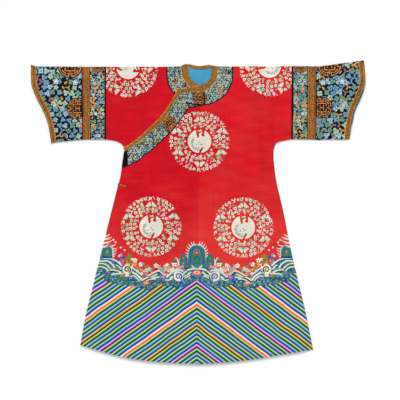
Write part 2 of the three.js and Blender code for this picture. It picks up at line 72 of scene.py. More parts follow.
# A coordinate outside the laid robe, and one past all cloth of the unfolded plan.
FAR = 900
BEYOND = 2200
CUFF_TRIM_WIDTH = 24
# X of the seams at the middle, of the underlap's edge and of the binding's join.
CENTRE_SEAM = 2
UNDERLAP_EDGE = 12
NECK_SEAM = 12
# Y below the sleeves, and below the neckband's end.
SLEEVE_LOW = 290
BAND_LOW = 100

FOLD_LINE = [
    (-768, 676), (-740, 670), (-560, 668), (-120, 668), (-80, 671), (-60, 680), (-40, 680),
    (0, 671), (20, 672), (50, 677), (80, 671), (120, 669), (400, 671), (560, 670), (762, 697),
]
RIGHT_CUFF_EDGE = [
    (-768, 676), (-767, 603), (-762, 572), (-742, 522), (-721, 483), (-702, 442),
    (-689, 402), (-682, 365), (-675, 315),
]
LEFT_CUFF_EDGE = [
    (762, 697), (768, 632), (767, 589), (761, 566), (750, 538), (737, 507), (725, 483),
    (715, 455), (710, 432), (704, 400), (700, 363), (697, 336),
]
RIGHT_SIDE = [
    (-675, 315), (-651, 321), (-528, 333), (-422, 333), (-383, 327), (-356, 316), (-343, 303),
    (-339, 285), (-347, 235), (-356, 165), (-373, 100), (-420, -88), (-478, -322),
    (-515, -470), (-541, -612),
]
LEFT_SIDE = [
    (697, 336), (675, 333), (426, 334), (371, 322), (354, 308), (347, 285), (347, 240),
    (360, 138), (386, 28), (411, -95), (438, -225), (492, -450), (529, -632),
]
HEM = [
    (-541, -612), (-478, -630), (-361, -662), (-221, -685), (-5, -697), (193, -685),
    (377, -657), (529, -632),
]
# X of the seams across the sleeves, at the fold and at the sleeve seam.
SLEEVE_SEAMS = {
    "right": {"cuff": (-532, -528), "trim": (-502, -497), "body": (-422, -422)},
    "left": {"cuff": (541, 539), "trim": (508, 505), "body": (432, 428)},
}
NECK_OPENING = [
    (-45, 668), (-28, 662), (-5, 656), (28, 657), (55, 665), (62, 653), (59, 621), (46, 600),
    (30, 590), (12, 583), (-12, 593), (-31, 609), (-42, 635),
]
BINDING_FRONT = [
    (-78, FAR), (-78, 644), (-74, 621), (-64, 604), (-46, 583), (-30, 568), (-5, 555),
    (17, 552), (46, 564), (67, 583), (86, 607), (93, 635), (94, 655), (94, FAR),
]
BINDING_BACK = [
    (-78, FAR), (-78, 666), (-60, 655), (0, 650), (70, 655), (94, 666), (94, FAR),
]
NECKBAND_BACK = [
    (-146, FAR), (-146, 664), (-138, 635), (-110, 607), (-60, 592), (10, 588), (75, 592),
    (125, 607), (155, 635), (163, 664), (163, FAR),
]
RIGHT_NECKBAND_FRONT = [
    (-146, FAR), (-146, 650), (-145, 616), (-136, 580), (-109, 543), (-80, 515), (-40, 497),
    (30, 487), (30, FAR),
]
LEFT_NECKBAND_EDGE = [
    (163, FAR), (163, 655), (160, 607), (152, 580), (131, 543), (101, 517), (60, 496),
    (17, 488), (-44, 475),
]
LAPEL_BAND_EDGE = [
    (-44, 475), (-77, 427), (-117, 374), (-167, 324), (-220, 277), (-283, 229), (-347, 202),
    (-420, 172),
]
LAPEL_TRIM_UPPER = [
    (12, 583), (-14, 575), (-46, 571), (-99, 561), (-104, 543), (-141, 480), (-178, 432),
    (-231, 380), (-283, 334), (-336, 298), (-420, 241),
]
LAPEL_TRIM_LOWER = [
    (17, 552), (-46, 549), (-72, 548), (-98, 522), (-130, 464), (-167, 411), (-215, 369),
    (-273, 321), (-336, 279), (-420, 223),
]
LAPEL_END_TOP = (-325, 300)
LAPEL_END_LOW = (-320, 180)

# Soft waves of the front: from (x1, y1) to (x2, y2), width, height.
WAVES = [
    (-190, -120, -262, -650, 62, 1.8), (-70, -240, -96, -690, 58, -1.3),
    (85, -180, 122, -680, 64, 1.9), (240, -290, 306, -640, 58, 1.3),
    (-400, -300, -440, -620, 60, 1.2), (-300, 290, -170, 440, 55, 1.5),
    (310, 300, 180, 450, 55, 1.7), (120, 40, 300, -50, 60, -1.4),
    (-250, 70, -60, 20, 65, 1.0), (640, 420, 700, 620, 50, 1.2),
    (-640, 400, -700, 600, 50, 1.1),
]
# Finer creases that only the dressed cloth has, with the same columns.
FRONT_CREASES = [
    (-470, 560, -300, 380, 16, -0.6), (-560, 470, -390, 372, 12, 0.5),
    (-250, 500, -215, 340, 14, -0.5), (300, 420, 150, 560, 17, 0.6),
    (402, 372, 268, 470, 12, -0.6), (470, 390, 350, 610, 15, 0.5),
    (560, 420, 470, 600, 11, -0.4), (620, 380, 655, 640, 14, 0.6),
    (-610, 380, -640, 640, 13, -0.5), (-700, 470, -660, 610, 10, 0.4),
    (-150, 130, -190, -170, 13, -0.5), (60, 160, 40, -250, 18, 0.6),
    (250, 120, 190, -30, 12, -0.5), (330, 60, 352, -210, 14, 0.5),
    (-300, -10, -340, -260, 15, -0.5), (-120, -300, -160, -560, 12, 0.5),
    (20, -380, 12, -680, 16, -0.6), (160, -330, 205, -640, 13, -0.5),
    (380, -200, 440, -600, 15, -0.6), (-360, -380, -400, -620, 11, 0.5),
    (-250, -420, -318, -640, 13, -0.5), (290, -420, 330, -560, 10, 0.4),
    (-60, 60, 180, 90, 20, -0.4), (-310, -330, 60, -300, 24, 0.4),
    (80, -290, 380, -260, 22, 0.35),
]
BACK_CREASES = [
    (-300, -620, -180, 120, 26, 0.5), (-60, -650, -90, -80, 20, 0.45),
    (140, -640, 60, 180, 28, 0.5), (330, -600, 280, -60, 18, 0.4),
    (-430, 420, -190, 560, 22, 0.4), (300, 380, 150, 590, 24, 0.45),
    (620, 400, 560, 620, 18, 0.4), (-650, 380, -600, 600, 16, 0.4),
    (-330, 200, -60, 330, 20, 0.35), (90, 300, 310, 240, 17, 0.4),
]

# ---- Thread colours, sRGB out of 255 ------------------------------------------------------
THREADS = {
    "crimson": (214, 8, 30), "crimson_deep": (206, 4, 28), "crimson_line": (128, 6, 20),
    "cream": (240, 234, 206), "ivory": (232, 227, 212), "white": (232, 238, 228),
    "mint": (188, 224, 192), "mint_deep": (120, 178, 142), "rose": (230, 184, 172),
    "feather": (190, 194, 184), "feather_dark": (104, 110, 108), "sprig": (20, 140, 62),
    "leaf": (82, 150, 48), "leaf_dark": (12, 70, 44), "lilac": (160, 140, 204),
    "yellow": (234, 208, 74), "olive": (146, 152, 54), "peach": (248, 172, 130),
    "coral": (240, 82, 62), "magenta": (164, 28, 126), "purple": (142, 84, 168),
    "brown": (142, 82, 30), "sea_deep": (16, 76, 108), "sea_blue": (18, 82, 178),
    "sea_light": (122, 182, 218), "periwinkle": (92, 128, 198), "teal": (12, 110, 120),
    "green": (34, 134, 84), "navy": (10, 11, 26), "blue": (108, 154, 182),
    "blue_vein": (44, 84, 130), "sky": (148, 188, 208), "grey_green": (106, 150, 132),
    "green_vein": (50, 100, 78), "pale_green": (164, 198, 170), "mauve": (148, 112, 118),
    "tan": (198, 156, 92), "gourd": (214, 158, 50), "black": (5, 5, 10),
    "gold": (150, 102, 42), "gold_line": (208, 138, 68), "gold_dark": (92, 58, 22),
    "copper": (208, 132, 76), "copper_dark": (20, 14, 20), "lining": (72, 160, 200),
    # The darker lining blue on the next line is painted shade, for the cloth's hidden inside faces.
    "lining_painted_shade": (34, 104, 164), "orange": (236, 134, 56),
}


def linear(srgb):
    """Linear light of an sRGB colour out of 255."""
    shares = [channel / 255 for channel in srgb]
    return tuple(s / 12.92 if s <= 0.04045 else ((s + 0.055) / 1.055) ** 2.4 for s in shares)


# ---- Lines and outlines --------------------------------------------------------------------
CURVE_PARTS = 5
# Distance of the rows in a grid of nearly equal triangles, for a spacing of 1.
ROW_STEP = 0.87


def curved(line, parts=CURVE_PARTS):
    """A smooth line through the points."""
    last = len(line) - 1
    points = []
    for i in range(last):
        near = (line[max(i - 1, 0)], line[i], line[i + 1], line[min(i + 2, last)])
        for k in range(parts):
            t = k / parts
            point = []
            for a, b, c, d in zip(*near):
                start = (c - a) / 2
                end = (d - b) / 2
                cubic = 2 * b - 2 * c + start + end
                square = 3 * c - 3 * b - 2 * start - end
                point.append(((cubic * t + square) * t + start) * t + b)
            points.append(tuple(point))
    return points + [line[-1]]


def curved_with_corners(line, *corners):
    ends = [0, *corners, len(line) - 1]
    points = []
    for first, last in zip(ends, ends[1:]):
        points += curved(line[first:last + 1])[1 if points else 0:]
    return points


def curved_inside(line):
    return curved_with_corners(line, 1, len(line) - 2)


def turn_area(points):
    return sum(a[0] * b[1] - b[0] * a[1] for a, b in zip(points, points[1:] + points[:1])) / 2


def inset(outline, distance):
    """Moves every corner of a closed outline inwards, or outwards if negative."""
    turn = 1 if turn_area(outline) > 0 else -1
    moved = []
    for i, (x, y) in enumerate(outline):
        before = outline[i - 1]
        after = outline[(i + 1) % len(outline)]
        first = math.hypot(x - before[0], y - before[1])
        second = math.hypot(after[0] - x, after[1] - y)
        nx = -(y - before[1]) / first - (after[1] - y) / second
        ny = (x - before[0]) / first + (after[0] - x) / second
        reach = 2 * distance * turn / (nx * nx + ny * ny)
        moved.append((x + nx * reach, y + ny * reach))
    return moved


def shifted(line, distance):
    """An open line moved to its left, by one distance or by one for each point."""
    distances = distance if isinstance(distance, list) else [distance] * len(line)
    moved = []
    for i, ((x, y), reach) in enumerate(zip(line, distances)):
        before = line[max(i - 1, 0)]
        after = line[min(i + 1, len(line) - 1)]
        length = math.hypot(after[0] - before[0], after[1] - before[1]) or 1
        moved.append((x - (after[1] - before[1]) / length * reach,
                      y + (after[0] - before[0]) / length * reach))
    return moved


def between(a, b):
    return [*a, *reversed(b)]


def lane(line, near, far):
    """The strip that lies between two distances to the left of a line."""
    return between(shifted(line, near), shifted(line, far))


def box(x1, y1, x2, y2):
    return [(x1, y1), (x2, y1), (x2, y2), (x1, y2)]


def is_inside(x, y, outline):
    hit = False
    for (x1, y1), (x2, y2) in zip(outline, outline[1:] + outline[:1]):
        if (y1 > y) != (y2 > y) and x < x1 + (y - y1) / (y2 - y1) * (x2 - x1):
            hit = not hit
    return hit


FOLD_XS, FOLD_YS = (list(values) for values in zip(*FOLD_LINE))


def fold_y(x):
    return np.interp(x, FOLD_XS, FOLD_YS)


def reaching(points):
    """An outline whose far upper corners go straight on, past all cloth of the unfolded plan."""
    result = []
    for i, (x, y) in enumerate(points):
        if y < FAR - 1:
            result.append((x, y))
        elif points[i - 1][1] < FAR - 1:
            result += [(x, y), (x, BEYOND)]
        else:
            result += [(x, BEYOND), (x, y)]
    return result


def turned_back(points):
    """Points of the plan's back layer, as they lie in the unfolded plan."""
    return [(x, 2 * float(fold_y(x)) - y) for x, y in points]


right_cuff_edge = curved(RIGHT_CUFF_EDGE)
left_cuff_edge = curved(LEFT_CUFF_EDGE)
right_side = curved_with_corners(RIGHT_SIDE, 2, 3, 7)
left_side = curved_with_corners(LEFT_SIDE, 1, 2, 5)
robe_edge = [
    *right_cuff_edge, *right_side[1:], *curved(HEM)[1:], *reversed(left_side[:-1]),
    *reversed(left_cuff_edge[:-1]),
]
neck_opening = curved_with_corners([*NECK_OPENING, NECK_OPENING[0]], 4, 9)[:-1]
binding_front = curved_inside(BINDING_FRONT)
binding_back = curved_inside(BINDING_BACK)
neckband_back = curved_inside(NECKBAND_BACK)
right_neckband_front = curved_inside(RIGHT_NECKBAND_FRONT)
left_neckband_edge = curved_with_corners(LEFT_NECKBAND_EDGE, 1)
lapel_band_edge = curved(LAPEL_BAND_EDGE)
lapel_trim_upper = curved_with_corners(LAPEL_TRIM_UPPER, 3)
lapel_trim_lower = curved_with_corners(LAPEL_TRIM_LOWER, 2)
FRONT_OUTLINE = [*robe_edge, *reversed(FOLD_LINE[1:-1])]
BACK_OUTLINE = [*turned_back(robe_edge), *reversed(FOLD_LINE[1:-1])]


def seam_line(seam):
    return [(seam[0], FAR), (seam[1], SLEEVE_LOW)]


def trim_line(edge, side):
    inner = shifted(edge, side * CUFF_TRIM_WIDTH)
    return [(inner[0][0], FAR), *inner, (inner[-1][0], SLEEVE_LOW)]


left_neckband_front = [
    *left_neckband_edge, *lapel_band_edge[1:], *reversed(lapel_trim_upper), (NECK_SEAM, FAR),
]
neck_area = box(-FAR, 500, NECK_SEAM + 4, FAR)
lapel_trim_outline = between(lapel_trim_upper, lapel_trim_lower)
neck_seam_right = box(NECK_SEAM, 0, FAR, FAR)
neck_seam_left = box(-FAR, 0, NECK_SEAM, FAR)
below_lapel = [*lapel_trim_upper, (-FAR, 241), (-FAR, -FAR), (NECK_SEAM, -FAR)]
right_body = [(-422, FAR), (-422, SLEEVE_LOW), (-FAR, SLEEVE_LOW), (-FAR, -FAR)]
left_body = [(432, FAR), (428, SLEEVE_LOW), (FAR, SLEEVE_LOW), (FAR, -FAR)]
first_left = next(i for i, (x, _) in enumerate(binding_front) if x >= 17)
left_binding_front = [*binding_front[first_left:], (NECK_SEAM, FAR), (NECK_SEAM, 583)]
neck_side = [(-44, 475), (-72, 548), (-72, FAR), (FAR, FAR), (FAR, BAND_LOW), (-44, BAND_LOW)]
lapel_end = [
    LAPEL_END_TOP, (-FAR, LAPEL_END_TOP[1]), (-FAR, BAND_LOW), (LAPEL_END_LOW[0], BAND_LOW),
    LAPEL_END_LOW,
]


def up_to(body, x):
    return [*body, (x, -FAR), (x, FAR)]


# ---- Heights of the laid cloth -------------------------------------------------------------
def smooth(share):
    t = np.clip(share, 0, 1)
    return t * t * (3 - 2 * t)


def distance_to_line(x, y, line):
    least = np.full(np.shape(x), np.inf)
    for (ax, ay), (bx, by) in zip(line, line[1:]):
        length2 = (bx - ax) ** 2 + (by - ay) ** 2
        t = np.clip(((x - ax) * (bx - ax) + (y - ay) * (by - ay)) / length2, 0, 1)
        least = np.minimum(least, np.hypot(x - ax - t * (bx - ax), y - ay - t * (by - ay)))
    return least


def wave(x, y, row):
    """A ridge or trough that fades out towards both ends of its line."""
    x1, y1, x2, y2, width, height = row
    length = math.hypot(x2 - x1, y2 - y1)
    along = ((x - x1) * (x2 - x1) + (y - y1) * (y2 - y1)) / length
    across = ((x - x1) * (y2 - y1) - (y - y1) * (x2 - x1)) / length
    fade = max(width, length / 4)
    ends = smooth(along / fade + 0.3) * smooth((length - along) / fade + 0.3)
    return height * ends * np.exp(-2 * (across / width) ** 2)


def seam_freedom(x, y):
    seam = np.minimum(distance_to_line(x, y, RIGHT_SIDE), distance_to_line(x, y, LEFT_SIDE))
    return smooth(seam / SEAM_REACH)


def below_fold(x, y):
    """Distance below the shoulder fold, which loses the fold's ups and downs on the way."""
    fold = fold_y(x)
    share = np.clip(1 - (fold - y) / FOLD_FADE, 0, 1)
    return SHOULDER_Y + (fold - SHOULDER_Y) * share - y


def front_height(x, y, below):
    free = seam_freedom(x, y)
    opened = smooth((below - FOLD_RADIUS) / SHOULDER_REACH)
    at_fold = 2 * FOLD_RADIUS - WALL
    at_seam = WALL + SEAM_GAP
    soft = PUFF + sum(wave(x, y, row) for row in WAVES + FRONT_CREASES)
    rise = (at_fold - at_seam) * np.maximum(free, 1 - opened)
    return at_seam + rise + np.maximum(soft, 0) * free * opened


def overlap_step(x, below):
    share = smooth((x - OVERLAP_FLAT_TO) / (OVERLAP_ENDS - OVERLAP_FLAT_TO))
    set_in = smooth((below - FOLD_RADIUS) / (OVERLAP_SETS_IN - FOLD_RADIUS))
    return LAYER_STEP * (1 - share) * set_in


def back_height(x, y):
    """The back lies on the ground, apart from a few shallow creases."""
    free = seam_freedom(x, y) * smooth((below_fold(x, y) - FOLD_RADIUS) / SHOULDER_REACH)
    return sum(wave(x, y, row) for row in BACK_CREASES) * free


def laid(x, v, is_outer, is_inside_face):
    """Where points of the unfolded plan lie, on the outside or the inside of the cloth."""
    fold = fold_y(x)
    y = np.where(v < fold, v, 2 * fold - v)
    below = below_fold(x, y)
    step = overlap_step(x, below) if is_outer else 0
    z = np.where(v < fold,
                 front_height(x, y, below) + step + (0 if is_inside_face else WALL),
                 back_height(x, y) + (WALL if is_inside_face else 0))
    turn = np.clip((fold - v) / FOLD_RADIUS, -1, 1) * math.pi / 2
    radius = FOLD_RADIUS - (WALL if is_inside_face else 0)
    on_fold = np.abs(fold - v) < FOLD_RADIUS
    y = np.where(on_fold, fold - FOLD_RADIUS + radius * np.cos(turn), y)
    z = np.where(on_fold, FOLD_RADIUS + radius * np.sin(turn), z)
    return np.stack([x, y, z], axis=1) * MM


PLATE_LOW = WALL + SEAM_GAP
PLATE_WALL = 1.0


def laid_plate(x, v, is_outer, is_inside_face):
    """A lining that lies on the back layer, inside the robe."""
    return np.stack([x, v, np.full(len(x), PLATE_LOW + (0 if is_inside_face else PLATE_WALL))],
                    axis=1) * MM


# ---- Woven figures: lists of (thread, outline) ---------------------------------------------
def turned(points, x, y, turn):
    """Points round the origin, turned to the left and moved to (x, y)."""
    cos, sin = math.cos(turn), math.sin(turn)
    return [(x + u * cos - w * sin, y + u * sin + w * cos) for u, w in points]


def oval(x, y, rx, ry=None, turn=0.0, count=10):
    angles = [2 * math.pi * i / count for i in range(count)]
    return turned([(rx * math.cos(a), (ry or rx) * math.sin(a)) for a in angles], x, y, turn)


def lobed(x, y, radius, lobes, depth, turn=0.0, per_lobe=4):
    """A round outline with the given number of petals or lobes."""
    points = []
    for i in range(lobes * per_lobe):
        a = 2 * math.pi * i / (lobes * per_lobe)
        r = radius * (1 - depth + depth * math.cos(lobes * a))
        points.append((x + r * math.cos(a + turn), y + r * math.sin(a + turn)))
    return points


def strip(line, width, end_width=None):
    """A strip along a line, its width going evenly to the end width."""
    end_width = width if end_width is None else end_width
    shares = [i / (len(line) - 1) for i in range(len(line))]
    halves = [(width + (end_width - width) * share) / 2 for share in shares]
    return between(shifted(line, halves), shifted(line, [-half for half in halves]))


# Shares of a leaf's length and width, round its outline.
BLADE = ((0, 0), (0.2, 0.38), (0.5, 0.5), (0.8, 0.3), (1, 0), (0.8, -0.3), (0.5, -0.5), (0.2, -0.38))


def blade(x, y, length, width, turn):
    """A pointed leaf or petal that starts at (x, y)."""
    return turned([(along * length, side * width) for along, side in BLADE], x, y, turn)


def arc(x, y, radius, start, end, count=8):
    """Points of an arc, its angles in degrees."""
    angles = [math.radians(start + (end - start) * i / (count - 1)) for i in range(count)]
    return [(x + radius * math.cos(a), y + radius * math.sin(a)) for a in angles]


def placed(figures, x, y, turn=0.0, size=1.0, flip=False):
    """Figures drawn round the origin with +Y up, set down at (x, y), turned to the left."""
    cos, sin = math.cos(turn) * size, math.sin(turn) * size
    out = []
    for thread, points in figures:
        points = [(-u, w) for u, w in points] if flip else points
        out.append((thread, [(x + u * cos - w * sin, y + u * sin + w * cos) for u, w in points]))
    return out


def mirrored(figures, x):
    return [(thread, [(2 * x - u, w) for u, w in points]) for thread, points in figures]


CRANE_RADIUS = 54
FEATHERS = 76
# Turn from one feather to the next, which spreads them evenly over the circle.
FEATHER_TURN = 2.4
# Middles and turns of the butterflies in a roundel.
BUTTERFLIES = [(0, 101, 0), (105, 48, -0.15), (99, -51, 0.1), (0, -104, math.pi),
               (-98, -51, -0.1), (-105, 48, 0.15)]


def crane(rng):
    """A crane with its wings spread into a circle, its head up. The ground shows between the
    head and the wings and beside the tail."""
    figures = [("ivory", oval(0, 0, CRANE_RADIUS, count=32))]
    for i in range(FEATHERS):
        r, a = CRANE_RADIUS * 0.92 * math.sqrt((i + 0.5) / FEATHERS), FEATHER_TURN * i
        at = (r * math.cos(a), r * math.sin(a))
        turn = math.radians(90) + 0.9 * at[0] / CRANE_RADIUS + rng.uniform(-0.3, 0.3)
        thread = rng.choice(("rose", "feather", "mint", "white", "feather", "white"))
        figures.append((thread, blade(*at, rng.uniform(5, 8.5), rng.uniform(1.8, 2.8), turn)))
    tail = arc(-2, -8, 31, 150, 275, 9)
    for i, (x, y) in enumerate(tail):
        figures.append(("feather", oval(x, y, 8, 5.5, 0.5 * i, 8)))
        figures.append(("feather_dark" if i % 3 else "grey_green", blade(x, y, 12, 2.6, 0.5 * i + 1)))
    for x, y, length, turn in ((-4, -9, 11, 0.6), (5, -11, 12, -0.4), (-15, -20, 9, 1.2),
                               (-8, -29, 9, 0.3), (-20, -34, 10, 0.8), (3, -20, 7, 1.4)):
        figures.append(("feather_dark", blade(x, y, length, 4, turn)))
    figures += [
        ("ground", [(12, -23), (18, -31), (10, -46), (5, -57), (-7, -57), (1, -43), (7, -34)]),
        ("leaf_dark", blade(6, -44, 13, 5, 1.2)), ("leaf", oval(10, -32, 4, 3, 0.6, 7)),
        ("ground", [(-18, 56), (-14, 32), (-10, 14), (-4, 18), (0, 24), (-4, 31), (4, 42), (5, 56)]),
        ("ground", [(9, 56), (12, 37), (6, 30), (13, 22), (24, 23), (22, 36), (24, 56)]),
        ("ivory", strip([(2, 12), (5, 24), (3, 33), (7, 41), (6, 50)], 7.5, 5)),
        ("white", oval(4, 46, 5, 4, 0.4, 8)), ("peach", oval(-4, 49, 6, 3.2, 0.1, 8)),
        ("sprig", blade(-5, 39, 22, 7, 0.35)), ("sprig", blade(-14, 35, 10, 5, 1.2)),
        ("leaf_dark", blade(-11, 29, 8, 4, 1.9)),
    ]
    return figures


def butterfly(tint):
    """A butterfly with swept wings, its head up."""
    upper = [(1, -5), (3, 9), (6, 13), (11, 11), (19, 1), (29, -9), (21, -8), (12, -7)]
    lower = [(1, -5), (12, -7), (21, -8), (29, -9), (23, -13), (17, -12), (12, -15), (6, -12)]
    marks = oval(11, 5, 3.6, 2.2, 0.8, 7)
    figures = []
    for side in (-1, 1):
        figures += [
            ("mint_deep", [(side * x, y) for x, y in lower]),
            (tint, [(side * x, y) for x, y in upper]),
            ("feather", strip([(side * 8, 9), (side * 16, -1), (side * 26, -9)], 2, 1.2)),
            ("rose", strip([(side * 6, -5), (side * 15, -6)], 2)),
            ("rose", [(side * x, y) for x, y in marks]),
            ("feather", strip([(side * 3, 0), (side * 9, 11)], 1.6)),
            ("mint_deep", strip([(side * 5, -4), (side * 19, 2)], 1.8)),
            ("white", strip([(side * 7, -9), (side * 20, -11)], 2)),
            ("mint", oval(side * 17, 0, 2, 1.6, 0, 6)),
            ("leaf", oval(side * 8, -3, 1.6, 1.2, 0, 5)),
        ]
    figures.append(("leaf_dark", strip([(0, -11), (0, 11)], 2.8, 1.6)))
    for side in (-1, 1):
        figures.append(("mint_deep", strip([(0, 10), (side * 3, 18)], 1, 0.8)))
    return figures


def blossom(rng, x, y, radius):
    petals, ring, heart = rng.choice((
        ("mint", "mint_deep", "leaf"), ("white", "feather", "leaf_dark"),
        ("mint", "mint_deep", "leaf_dark"), ("white", "mint_deep", "leaf"),
        ("white", "sea_light", "leaf_dark"), ("mint", "rose", "yellow"),
    ))
    turn = rng.uniform(0, 1.2)
    return [
        (petals, lobed(x, y, radius, 5, 0.15, turn, 3)),
        (ring, oval(x, y, radius * 0.48, radius * 0.42, turn, count=7)),
        (heart, oval(x, y, radius * 0.3, radius * 0.25, turn, count=6)),
    ]


def small_leaves(rng, x, y, length, thread):
    turn = rng.uniform(0, 2 * math.pi)
    return [(thread, blade(x, y, length, length * 0.48, turn + spread))
            for spread in (0, 2.0 + rng.uniform(-0.3, 0.3), 4.2 + rng.uniform(-0.3, 0.3))]


def roundel(seed):
    """Crane, ring of leaves, six butterflies and a wreath of blossoms, as one medallion."""
    rng = random.Random(seed)
    figures = crane(rng)
    for i in range(15):
        a = 2 * math.pi * (i + 0.5) / 15
        x, y = 66.5 * math.cos(a), 66.5 * math.sin(a)
        figures.append((("mint_deep", "rose", "mint")[i % 3], lobed(x, y, 6.6, 4, 0.22, a)))
        figures.append(("white" if i % 2 else "pale_green", oval(x, y, 3.2, 2.4, a, 7)))

    def is_taken(x, y):
        return any(abs(x - at[0]) < 30 and abs(y - at[1]) < 17 for at in BUTTERFLIES)

    for radius, count in ((72.5, 30), (87, 34), (104, 40), (121, 46), (137, 52)):
        for i in range(count):
            a = 2 * math.pi * (i + rng.uniform(-0.2, 0.2)) / count
            r = radius + rng.uniform(-2, 2) * (radius < 130)
            x, y = r * math.cos(a), r * math.sin(a)
            if not is_taken(x, y):
                lean = a + math.pi / 2 + rng.uniform(-0.2, 0.2) * (1 if radius > 130 else 8)
                thread = rng.choice(("mint", "mint_deep", "mint", "rose", "white", "sprig"))
                figures.append((thread, blade(x, y, 8.4, 3.8, lean)))
    for ring, (radius, count) in enumerate(((79.5, 25), (95.5, 30), (112.5, 35), (129.5, 41))):
        for i in range(count):
            a = 2 * math.pi * (i + rng.uniform(-0.13, 0.13) + 0.5 * (ring % 2)) / count
            r = radius + rng.uniform(-1.6, 1.6) * (radius < 120)
            x, y = r * math.cos(a), r * math.sin(a)
            pick = rng.random()
            if is_taken(x, y):
                continue
            if pick < 0.78:
                figures += blossom(rng, x, y, rng.uniform(7, 8.6))
            elif pick < 0.93:
                thread = rng.choice(("mint", "mint_deep", "white", "rose", "mint"))
                figures += small_leaves(rng, x, y, rng.uniform(9, 11), thread)
            else:
                figures.append(("lilac", lobed(x, y, 5, 4, 0.25)))
                figures.append(("white", oval(x, y, 1.8, count=5)))
    for start in (72, 252):
        figures.append(("mint_deep", strip(arc(0, 0, 81, start, start + 36, 9), 4)))
        figures.append(("peach", strip(arc(0, 0, 81, start + 8, start + 28, 6), 2.4)))
    for i, (x, y, turn) in enumerate(BUTTERFLIES):
        figures += placed(butterfly(("cream", "white")[i % 2]), x, y, turn, 0.95)
    return figures


# Bars of a medallion's fret: from (x1, y1) to (x2, y2) in shares of its radius, and their
# width. Level ones and those on the axis come again below, the others on the other side.
FRET_BARS = [
    (-0.42, 0.42, 0.42, 0.42, 1), (0.42, -0.42, 0.42, -0.13, 1), (0.42, 0.13, 0.42, 0.42, 1),
    (0.17, -0.26, 0.17, 0.26, 0.8), (0, 0.42, 0, 0.82, 0.8), (-0.27, 0.64, 0.27, 0.64, 0.8),
    (0.42, 0, 0.74, 0, 0.8),
]


def medallion(radius):
    """A round medallion: a broken ring of bright thread round a symmetrical fret on black."""
    bar = radius * 0.085
    figures = [("copper_dark", oval(0, 0, radius * 1.07, count=26))]
    for quarter in range(4):
        start = 90 * quarter
        figures.append(("copper", strip(arc(0, 0, radius * 0.93, start + 7, start + 83, 10), bar)))
        figures.append(("copper", strip(arc(0, 0, radius * 0.75, start + 26, start + 64, 5), bar)))
        for degrees in (start + 11, start + 79):
            a = math.radians(degrees)
            ends = [(radius * r * math.cos(a), radius * r * math.sin(a)) for r in (0.93, 0.62)]
            figures.append(("copper", strip(ends, bar * 0.9)))
    for side in (-1, 1):
        for x1, y1, x2, y2, width in FRET_BARS:
            x_side, y_side = (1, side) if x1 == -x2 else (side, 1)
            ends = [(x1 * x_side * radius, y1 * y_side * radius),
                    (x2 * x_side * radius, y2 * y_side * radius)]
            figures.append(("copper", strip(ends, bar * width)))
    figures.append(("copper", strip([(-0.17 * radius, 0), (0.17 * radius, 0)], bar * 0.8)))
    return figures


# Threads of a leaf: body, veins, specks.
LEAF_TONES = {
    "wide": (("blue", "blue_vein", "sky"), ("grey_green", "green_vein", "pale_green"),
             ("blue", "navy", "sky"), ("grey_green", "leaf_dark", "pale_green"),
             ("pale_green", "green_vein", "white"), ("sky", "blue_vein", "white")),
    "band": (("blue", "blue_vein", "sky"), ("grey_green", "green_vein", "pale_green"),
             ("blue", "navy", "white"), ("grey_green", "leaf_dark", "pale_green"),
             ("feather", "green_vein", "white"), ("tan", "brown", "cream"),
             ("pale_green", "green_vein", "peach")),
    "fine": (("grey_green", "navy", "white"), ("pale_green", "navy", "white"),
             ("feather", "green_vein", "white"), ("sky", "navy", "white"),
             ("blue", "navy", "sky"), ("feather", "navy", "rose"),
             ("pale_green", "green_vein", "white")),
}


def leaf_of_lobes(rng, x, y, radius, tones):
    """Three to five rounded lobes round a centre, each with a dark vein and pale specks."""
    body, vein, speck = rng.choice(LEAF_TONES[tones])
    lobes = 3 if tones == "fine" else rng.choice((3, 3, 4, 4, 5))
    turn = rng.uniform(0, 2 * math.pi)
    outline = lobed(x, y, radius * 1.2, lobes, 0.2, turn, 4)
    figures = [] if tones == "fine" else [("navy", outline)]
    for i in range(lobes):
        a = turn + 2 * math.pi * i / lobes + rng.uniform(-0.12, 0.12)
        cos, sin = math.cos(a) * radius, math.sin(a) * radius
        length = 0.5 if lobes < 5 else 0.45
        wide = (0.5, 0.42, 0.34)[lobes - 3]
        middle = (x + cos * 0.53, y + sin * 0.53)
        figures.append((body, oval(*middle, radius * length, radius * wide, a, 9)))
        ends = [(x + cos * 0.1, y + sin * 0.1), (x + cos * 0.88, y + sin * 0.88)]
        figures.append((vein, strip(ends, radius * 0.11, radius * 0.05)))
        for _ in range(1 if tones == "fine" else 2):
            at = (middle[0] + rng.uniform(-0.3, 0.3) * radius,
                  middle[1] + rng.uniform(-0.3, 0.3) * radius)
            figures.append((speck, oval(*at, radius * 0.16, radius * 0.09, rng.uniform(0, 3), 5)))
    return figures


def gourd(rng, x, y, size):
    turn = rng.uniform(-0.9, 0.9)
    body = [
        ("copper_dark", oval(0, -size * 0.42, size * 0.7, count=9)),
        ("gourd", oval(0, -size * 0.42, size * 0.56, count=9)),
        ("gourd", oval(0, size * 0.34, size * 0.42, count=8)),
        ("leaf_dark", strip([(0, size * 0.7), (size * 0.2, size * 1.1)], size * 0.16)),
        ("tan", oval(-size * 0.16, -size * 0.3, size * 0.16, count=5)),
    ]
    return placed(body, x, y, turn)


def curled_flower(size):
    """A large blue and white flower of curled petals."""
    figures = [("navy", oval(0, 0, size * 1.1, size * 0.9, 0, 12)),
               ("sky", lobed(0, 0, size, 5, 0.16, 0.4, 3)), ("blue", oval(0, 0, size * 0.5, count=9))]
    for i in range(5):
        a = 1.2566 * i + 0.4
        x, y = size * 0.5 * math.cos(a), size * 0.5 * math.sin(a)
        figures.append(("white", strip(arc(x, y, size * 0.3, 70 * i, 70 * i + 230, 7), size * 0.15)))
        figures.append(("blue_vein", oval(x, y, size * 0.1, count=5)))
    figures += [("cream", oval(0, 0, size * 0.2, count=6)), ("rose", oval(0, 0, size * 0.1, count=5))]
    return figures


